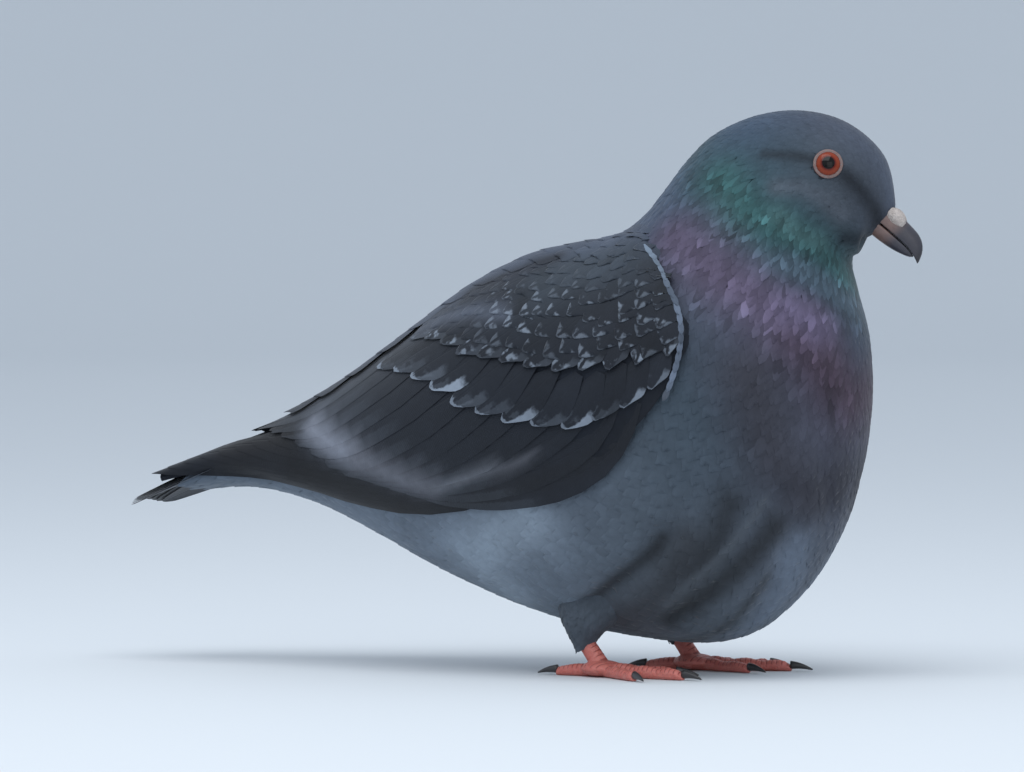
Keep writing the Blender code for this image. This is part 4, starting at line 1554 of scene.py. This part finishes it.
# %% A loft
def loft(bm, stations, corners=24):
    """A closed tube through stations: centre, direction, upright, half width, half height above and below."""
    loops = []
    for centre, ahead, up, width, above, below in stations:
        ring = bmesh.ops.create_circle(bm, segments=corners, radius=1.0)["verts"]
        for vert in ring:
            vert.co.y *= above if vert.co.y > 0 else below
            vert.co.x *= width
        ahead, up = Vector(ahead).normalized(), Vector(up)
        side = up.cross(ahead).normalized()
        up = ahead.cross(side)
        place = Matrix((side, up, ahead)).transposed().to_4x4()
        bmesh.ops.transform(bm, matrix=Matrix.Translation(Vector(centre)) @ place, verts=ring)
        loops.append([edge for edge in bm.edges if all(vert in ring for vert in edge.verts)])
    for first, second in zip(loops, loops[1:]):
        bmesh.ops.bridge_loops(bm, edges=first + second)
    for rim in (loops[0], loops[-1]):
        bmesh.ops.edgeloop_fill(bm, edges=rim)
    return loops

# %% [markdown]
# The bill has an axis of its own, which points down and ahead from the face. The gape line, where the
# mandibles meet, bends down below that axis towards the tip, and both mandibles follow it.

# %% The bill's axis
BILL_ROOT = (66.8, 144.9)  # x and z, in millimetres
BILL_PITCH = math.radians(-40)
CULMEN, LOWER_BILL = 17.0, 14.5  # lengths of the upper and of the lower mandible
BILL_HEIGHT, LOWER_DEPTH = 5.5, 4.2  # of the upper and of the lower mandible at the root
BILL_WIDTH = 4.1  # half the bill's width at the root
GAPE_FLATNESS = 0.1  # how far a mandible bulges at the gape, as a share of its other side
IN_FACE = -0.12  # share of its length where a mandible begins, inside the face


def bill_station(along, below, width, over, under):
    """A station of the bill: below is how far its middle lies under the bill's axis, all in millimetres."""
    ahead = np.array([math.cos(BILL_PITCH), 0, math.sin(BILL_PITCH)])
    up = np.array([-ahead[2], 0, ahead[0]])
    centre = np.array([BILL_ROOT[0], 0, BILL_ROOT[1]]) + ahead * along - up * below
    here, there, above = (head_turned(point) for point in (centre, centre + ahead, centre + up))
    return here * MM + FRAME_SHIFT, there - here, above - here, width * MM, over * MM, under * MM


def gape_drop(along):
    """Millimetres from the bill's axis down to the gape line."""
    share = along / CULMEN
    return 0.9 * share**2 + 1.5 * max(share - 0.6, 0) ** 2 / 0.16


print("the gape line drops", round(gape_drop(CULMEN), 1), "mm to the tip")

# %% [markdown]
# Bill horn is paler and pinkish at the root and darkens to the tip. How far a point is along the bill is
# stored on the mesh, because the bill stands askew to the object's own axes.

# %% Horn
horn_material, tree, shader = new_material("bill_horn", 0.36, specular=0.5)
along_bill = attribute(tree, "along_bill", "Fac")
horn = mix_colour(tree, band(tree, along_bill, 2.5, 8.0), (0.17, 0.108, 0.095), (0.042, 0.04, 0.052))
horn = mix_colour(tree, band(tree, along_bill, 13.5, 17.5), horn, (0.02, 0.019, 0.024))
horn = use_group(tree, mottle, Colour=horn, Place=object_place(tree), Amount=0.8)
tree.links.new(horn, shader.inputs["Base Color"])
horn_grain = use_group(tree, grain, Place=object_place(tree), Cells_per_metre=1400.0, Cell_share=0.3)
bump(tree, shader, horn_grain, 0.25, 0.0002)


def mark_along_bill(piece):
    """Stores how far each vertex is from the bill's root, in millimetres, for its colour."""
    base, tip = (Vector(bill_station(along, 0, 1, 1, 1)[0]) for along in (0, CULMEN))
    ahead = (tip - base).normalized()
    store(piece.data, "along_bill", "FLOAT", [(vert.co - base) @ ahead / MM for vert in piece.data.vertices])


print("horn:", len(tree.nodes), "nodes")

# %% [markdown]
# The upper mandible keeps its height almost to the tip and then hooks over the lower one, which is shorter
# and tapers evenly. Both are nearly flat where they meet.

# %% The mandibles
upper = []
for share in np.linspace(IN_FACE, 1, 26):
    height = BILL_HEIGHT * (1 - 0.12 * share) * math.sqrt(max(1 - share**7, 0.03))
    width = BILL_WIDTH * (1 - 0.62 * max(share, 0) ** 0.8) * math.sqrt(max(1 - share**9, 0.05))
    drop = gape_drop(CULMEN * share) - GAPE_FLATNESS * height
    upper.append(bill_station(CULMEN * share, drop, width, height, GAPE_FLATNESS * height))
lower = []
for share in np.linspace(IN_FACE, 1, 20):
    depth = LOWER_DEPTH * (1 - 0.6 * share**2) * math.sqrt(max(1 - share**8, 0.05))
    width = BILL_WIDTH * 0.92 * (1 - 0.6 * share) * math.sqrt(max(1 - share**8, 0.1))
    drop = gape_drop(LOWER_BILL * share) + 0.12 + GAPE_FLATNESS * depth
    lower.append(bill_station(LOWER_BILL * share, drop, width, GAPE_FLATNESS * depth, depth))
for word, stations in (("upper", upper), ("lower", lower)):
    bm = bmesh.new()
    loft(bm, stations)
    mark_along_bill(finished(f"{word}_mandible", bm, horn_material, "bill_horn", f"bill_{word}"))
print("bill length", round(CULMEN, 1), "mm")

# %% [markdown]
# ### Cere and nostrils
# The cere is two soft, chalky swellings at the root of the bill, and the nostrils are slits below them.
# Each is a short loft set to one side of the bill. Its powdery look is all roughness and bump.

# %% The cere
def to_one_side(station, lobe, reach):
    """A station of the bill moved reach millimetres to the side that lobe says."""
    here, ahead, up, *sizes = station
    aside = Vector(up).cross(Vector(ahead)).normalized() * lobe * reach * MM
    return (Vector(here) + aside, ahead, up, *sizes)


cere_material, tree, shader = new_material("cere", 0.85, specular=0.25)
place = object_place(tree)
chalk = mix_colour(tree, noise(tree, place, 600.0), (0.36, 0.3, 0.275), (0.64, 0.58, 0.54))
tree.links.new(chalk, shader.inputs["Base Color"])
cere_grain = use_group(tree, grain, Place=place, Cells_per_metre=1500.0, Cell_share=1.0)
bump(tree, shader, cere_grain, 0.8, 0.0004)
bm = bmesh.new()
for lobe in (-1, 1):
    stations = []
    for share in np.linspace(0, 1, 14):
        bulge = math.sin(math.pi * (0.06 + 0.88 * share)) ** 0.55
        half = 2.3 * bulge
        middle_line = bill_station(8.0 * share - 1.9, -3.9 - 0.9 * bulge, half, half, 1.2 * half)
        stations.append(to_one_side(middle_line, lobe, 1.5 + 0.35 * (1 - share)))
    loft(bm, stations, 18)
finished("cere_lobes", bm, cere_material, "cere", "cere")
print("cere: 2 lobes")

# %% [markdown]
# The nostrils are narrow spindles sunk into the horn under the front of the cere, near black as painted
# shade inside their openings.

# %% The nostrils
nostril_shade_material, tree, shader = new_material("nostril", 0.6, specular=0.3)
# near black: painted shade inside the nostril openings
shader.inputs["Base Color"].default_value = (0.012, 0.009, 0.009, 1)
bm = bmesh.new()
for lobe in (-1, 1):
    stations = []
    for share in np.linspace(0, 1, 9):
        half = 0.42 * math.sin(math.pi * (0.05 + 0.9 * share)) ** 0.5
        middle_line = bill_station(3.4 + 4.2 * share, 1.2 * share - 2.6, half, half, half)
        stations.append(to_one_side(middle_line, lobe, 2.75 - 0.55 * share))
    loft(bm, stations, 10)
finished("nostrils", bm, nostril_shade_material, "bill_horn")
print("nostrils: 2")

# %% [markdown]
# ## Legs and feet
# Pad, toes and bare leg are one scaly skin. Tubes with a ring for every scute are laid out, and a voxel
# remesh joins them with no crease. The claws stay separate, as horn is.

# %% Scutes
TOES = (  # name, degrees outwards, length and radius in millimetres, swellings along it
    ("inner", -28, 24, 2.3, 2),
    ("middle", 3, 32, 2.45, 3),
    ("outer", 34, 26.5, 2.2, 4),
    ("hind", 176, 17, 2.3, 1),
)
TOE_OUT = math.radians(9)  # how far the whole foot points outwards
SCUTE = 1.7  # millimetres from one scute to the next
AHEAD = (1, 0, 0)
SHIFT = Vector(FRAME_SHIFT)


def mark_scutes(mesh, axes):
    """Stores how far along its toe or leg each vertex is, and how far it faces the side that has scutes."""
    places = (np.array([vert.co for vert in mesh.vertices]) - FRAME_SHIFT) / MM
    normals = np.array([vert.normal for vert in mesh.vertices])
    nearest, along, facing = np.full(len(places), 1e6), np.zeros(len(places)), np.zeros(len(places))
    for start, ahead, length, outward in axes:
        passed = np.clip((places - start) @ ahead, 0, length)
        away = np.linalg.norm(places - start - passed[:, None] * ahead, axis=-1)
        closer = away < nearest
        along, facing = np.where(closer, passed, along), np.where(closer, normals @ outward, facing)
        nearest = np.minimum(nearest, away)
    store(mesh, "along_toe", "FLOAT", along)
    store(mesh, "faces_up", "FLOAT", facing)


print("scutes on a middle toe:", round(TOES[1][2] / SCUTE))

# %% [markdown]
# Leg skin is coral and mottled, with painted shade in the grooves between scutes. The grooves are a wave
# along the toe, and they show on its upper side only. Horn of the claws is near black.

# %% Leg skin and claws
leg_material, tree, shader = new_material("leg_skin", 0.5, specular=0.45)
shader.inputs["Subsurface Weight"].default_value = 0.12
shader.inputs["Subsurface Scale"].default_value = 0.002
place = object_place(tree)
coral = mix_colour(tree, noise(tree, place, 260.0), (0.48, 0.1, 0.08), (0.64, 0.23, 0.19))
scute = math_node(tree, "MULTIPLY", attribute(tree, "along_toe", "Fac"), math.pi / SCUTE)
groove = band(tree, math_node(tree, "ABSOLUTE", math_node(tree, "SINE", scute)), 0.5, 0.05)
upper_side = band(tree, attribute(tree, "faces_up", "Fac"), 0.1, 0.55)
groove = math_node(tree, "MULTIPLY", groove, upper_side)
# painted shade in the grooves between scutes
coral = mix_colour(tree, math_node(tree, "MULTIPLY", groove, 0.75), coral, (0.26, 0.05, 0.04))
tree.links.new(coral, shader.inputs["Base Color"])
leg_grain = use_group(tree, grain, Place=place, Cells_per_metre=1100.0, Cell_share=0.9)
bump(tree, shader, math_node(tree, "SUBTRACT", leg_grain, groove), 0.6, 0.0004)
claw_material, tree, shader = new_material("claw_horn", 0.35, specular=0.5)
claw_tint = use_group(tree, mottle, Place=object_place(tree), Amount=0.7)
tree.links.new(mix_colour(tree, 0.8, claw_tint, (0.02, 0.018, 0.02)), shader.inputs["Base Color"])
print("leg skin:", len(leg_material.node_tree.nodes), "nodes")

# %% [markdown]
# A toe is a tube that swells over each of its pads and is flattened below. A claw starts inside the toe's
# end and curves down to a blunt point. The bare leg leans back from the foot up to the feathers. Each of
# them is a list of stations for the loft.

# %% Toes, claws and legs
TOE_START = 2  # millimetres from the middle of the foot
TOE_FLAT = 0.84  # height of a toe's middle over the floor, as a share of its half width
CLAW = 7.2  # millimetres


def toe_stations(x, y, ahead, length, radius, pads):
    stations = []
    scutes = round(length / SCUTE)
    for share in np.linspace(0, 1, scutes * 4 + 1):
        taper = min(0.76 + 1.6 * share, 1 - 0.3 * share)
        swell = 1 + 0.08 * math.cos(2 * math.pi * (share * pads - 0.5))
        end = math.sqrt(max(1 - max((share - 0.9) / 0.1, 0) ** 2, 0.12))
        half = radius * taper * swell * end
        scute = 0.14 * abs(math.sin(math.pi * share * scutes)) ** 0.6
        out = TOE_START + (length - TOE_START) * share
        centre = SHIFT + (Vector((x, y, half * TOE_FLAT)) + ahead * out) * MM
        stations.append((centre, ahead, UP, half * MM, (half + scute) * MM, half * TOE_FLAT * MM))
    return stations


def claw_stations(x, y, ahead, length):
    stations = []
    for share in np.linspace(0, 1, 9):
        half = 1.25 * (1 - share) ** 0.8 + 0.22
        out = length - 0.4 + CLAW * share
        centre = SHIFT + (Vector((x, y, 1.95 - 1.35 * share**2)) + ahead * out) * MM
        tip_way = Vector((ahead.x, ahead.y, -0.75 * share))
        stations.append((centre, tip_way, UP, half * 0.72 * MM, half * MM, half * MM * 0.9))
    return stations


def leg_stations(foot, top):
    stations = []
    for share in np.linspace(0, 1.25, 41):
        half = 2.9 * (1 - 0.1 * share) * (1 + 0.04 * abs(math.sin(math.pi * share * 8)))
        centre = SHIFT + (foot + (top - foot) * share) * MM
        stations.append((centre, top - foot, AHEAD, half * 0.9 * MM, half * MM, half * MM))
    return stations


print("rings of a bare leg:", len(leg_stations(Vector((0, 0, 2.7)), Vector((-7, 0, 12.5)))))

# %% [markdown]
# The pad is a flattened ball in the middle of the foot. Pad, toes and leg are melted into one skin, which
# is then cut level at the floor, so that the bird stands flat.

# %% Feet
PAD_RADIUS, PAD_HEIGHT, PAD_FLAT = 6.9, 2.7, 0.39
FOOT_VOXEL = 0.00032
for word, side in SIDES:
    x, y = FEET[word]
    foot, top = Vector((x, y, PAD_HEIGHT)), Vector((x - 7, y, 12.5))
    bm = bmesh.new()
    pad = bmesh.ops.create_uvsphere(bm, u_segments=24, v_segments=16, radius=PAD_RADIUS * MM)["verts"]
    flattened = Matrix.Translation(SHIFT + foot * MM) @ Matrix.Diagonal((1, 1, PAD_FLAT, 1))
    bmesh.ops.transform(bm, matrix=flattened, verts=pad)
    axes = []
    for toe, outwards, length, radius, pads in TOES:
        heading = side * (TOE_OUT + math.radians(outwards))
        ahead = Vector((math.cos(heading), math.sin(heading), 0))
        axes.append((np.array((x, y, 1.8)), np.array(ahead), length, np.array(UP)))
        loft(bm, toe_stations(x, y, ahead, length, radius, pads), 20)
        claw = bmesh.new()
        loft(claw, claw_stations(x, y, ahead, length), 12)
        finished(f"claw_of_{word}_{toe}", claw, claw_material, "claw_horn", f"claw_{word}_{toe}")
    loft(bm, leg_stations(foot, top), 20)
    mesh = melted(f"rough_foot_{word}", bm, FOOT_VOXEL, soften=2)
    floor_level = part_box(f"foot_{word}")[0].z
    for vert in mesh.vertices:
        vert.co.z = max(vert.co.z, floor_level)
    axes.append((np.array(foot) + (0, 0, 2.5), np.array((top - foot).normalized()), 14.0, np.array(AHEAD)))
    mark_scutes(mesh, axes)
    solids = [f"foot_{word}", f"tarsus_{word}", *(f"toe_{word}_{toe}" for toe, *_ in TOES)]
    piece_of(f"leg_and_foot_{word}", mesh, leg_material, "leg_skin", *solids)
    print("leg", word, len(mesh.polygons), "faces")

# %% [markdown]
# ## Floor, light and camera
# The bird stands on a plain pale floor. A wall would leave a line behind it, so the floor rises into the
# backdrop in one even bend: a disc whose rim is extruded outwards and upwards, step by step.

# %% Floor and backdrop
FLOOR_RADIUS, BEND = 4.6, 1.2  # metres
floor_material, tree, shader = new_material("backdrop", 0.9)
shader.inputs["Base Color"].default_value = (0.68, 0.71, 0.74, 1)
bm = bmesh.new()
bmesh.ops.create_circle(bm, segments=96, radius=FLOOR_RADIUS, cap_ends=True)
edges = list(bm.edges)
for turn in np.radians(np.arange(10, 91, 10)):
    grown = bmesh.ops.extrude_edge_only(bm, edges=edges)["geom"]
    edges = [item for item in grown if isinstance(item, bmesh.types.BMEdge) and item.is_boundary]
    for vert in {vert for edge in edges for vert in edge.verts}:
        out = Vector((vert.co.x, vert.co.y, 0)).normalized() * (FLOOR_RADIUS + BEND * math.sin(turn))
        vert.co = (out.x, out.y, BEND * (1 - math.cos(turn)))
backdrop_mesh = bpy.data.meshes.new("backdrop")
bm.to_mesh(backdrop_mesh)
bm.free()
backdrop_mesh.shade_smooth()
backdrop_mesh.materials.append(floor_material)
backdrop = bpy.data.objects.new("backdrop", backdrop_mesh)
bpy.context.collection.objects.link(backdrop)
print("backdrop:", len(backdrop_mesh.polygons), "faces")

# %% [markdown]
# A broad soft light from above stands for an overcast sky, a weaker one fills the shaded side, and a pale
# world lights the rest. The lights are hidden from the camera, so that no lamp shows in the eye or on the
# bill.

# %% Light
MIDDLE = Vector((0.0, 0.0, 0.092))  # middle of the bird, which lights and camera look at
world = bpy.data.worlds.new("studio")
bpy.context.scene.world = world
world.use_nodes = True
world.node_tree.nodes["Background"].inputs["Color"].default_value = (0.72, 0.8, 0.9, 1)
world.node_tree.nodes["Background"].inputs["Strength"].default_value = 0.9


def soft_light(name, place, power, size, colour):
    data = bpy.data.lights.new(name, "AREA")
    data.energy, data.size, data.color = power, size, colour
    lamp = bpy.data.objects.new(name, data)
    lamp.location = place
    lamp.visible_camera = False
    lamp.rotation_euler = (MIDDLE - Vector(place)).to_track_quat("-Z", "Y").to_euler()
    bpy.context.collection.objects.link(lamp)


soft_light("sky_light", (0.1, -0.7, 1.6), 17, 1.4, (0.95, 0.98, 1.0))
soft_light("fill_light", (1.0, -1.1, 0.5), 2.2, 0.9, (1.0, 0.98, 0.95))
print("lights: 2")

# %% [markdown]
# The camera looks at the bird's right side from a little ahead of it and from just over the floor. A long
# lens from far away keeps the bird's proportions true.

# %% Camera
AZIMUTH, ELEVATION = math.radians(25), math.radians(1.5)
DISTANCE = 2.4  # metres
camera_data = bpy.data.cameras.new("camera")
camera_data.lens, camera_data.sensor_width = 260, 36
camera_data.clip_start = 0.1
camera = bpy.data.objects.new("camera", camera_data)
level = math.cos(ELEVATION)
back = Vector((math.sin(AZIMUTH) * level, -math.cos(AZIMUTH) * level, math.sin(ELEVATION)))
camera.location = MIDDLE + back * DISTANCE
camera.rotation_euler = (-back).to_track_quat("-Z", "Y").to_euler()
bpy.context.collection.objects.link(camera)
bpy.context.scene.camera = camera
bpy.context.scene.view_settings.view_transform = "Standard"
print("camera at", [round(value, 2) for value in camera.location])
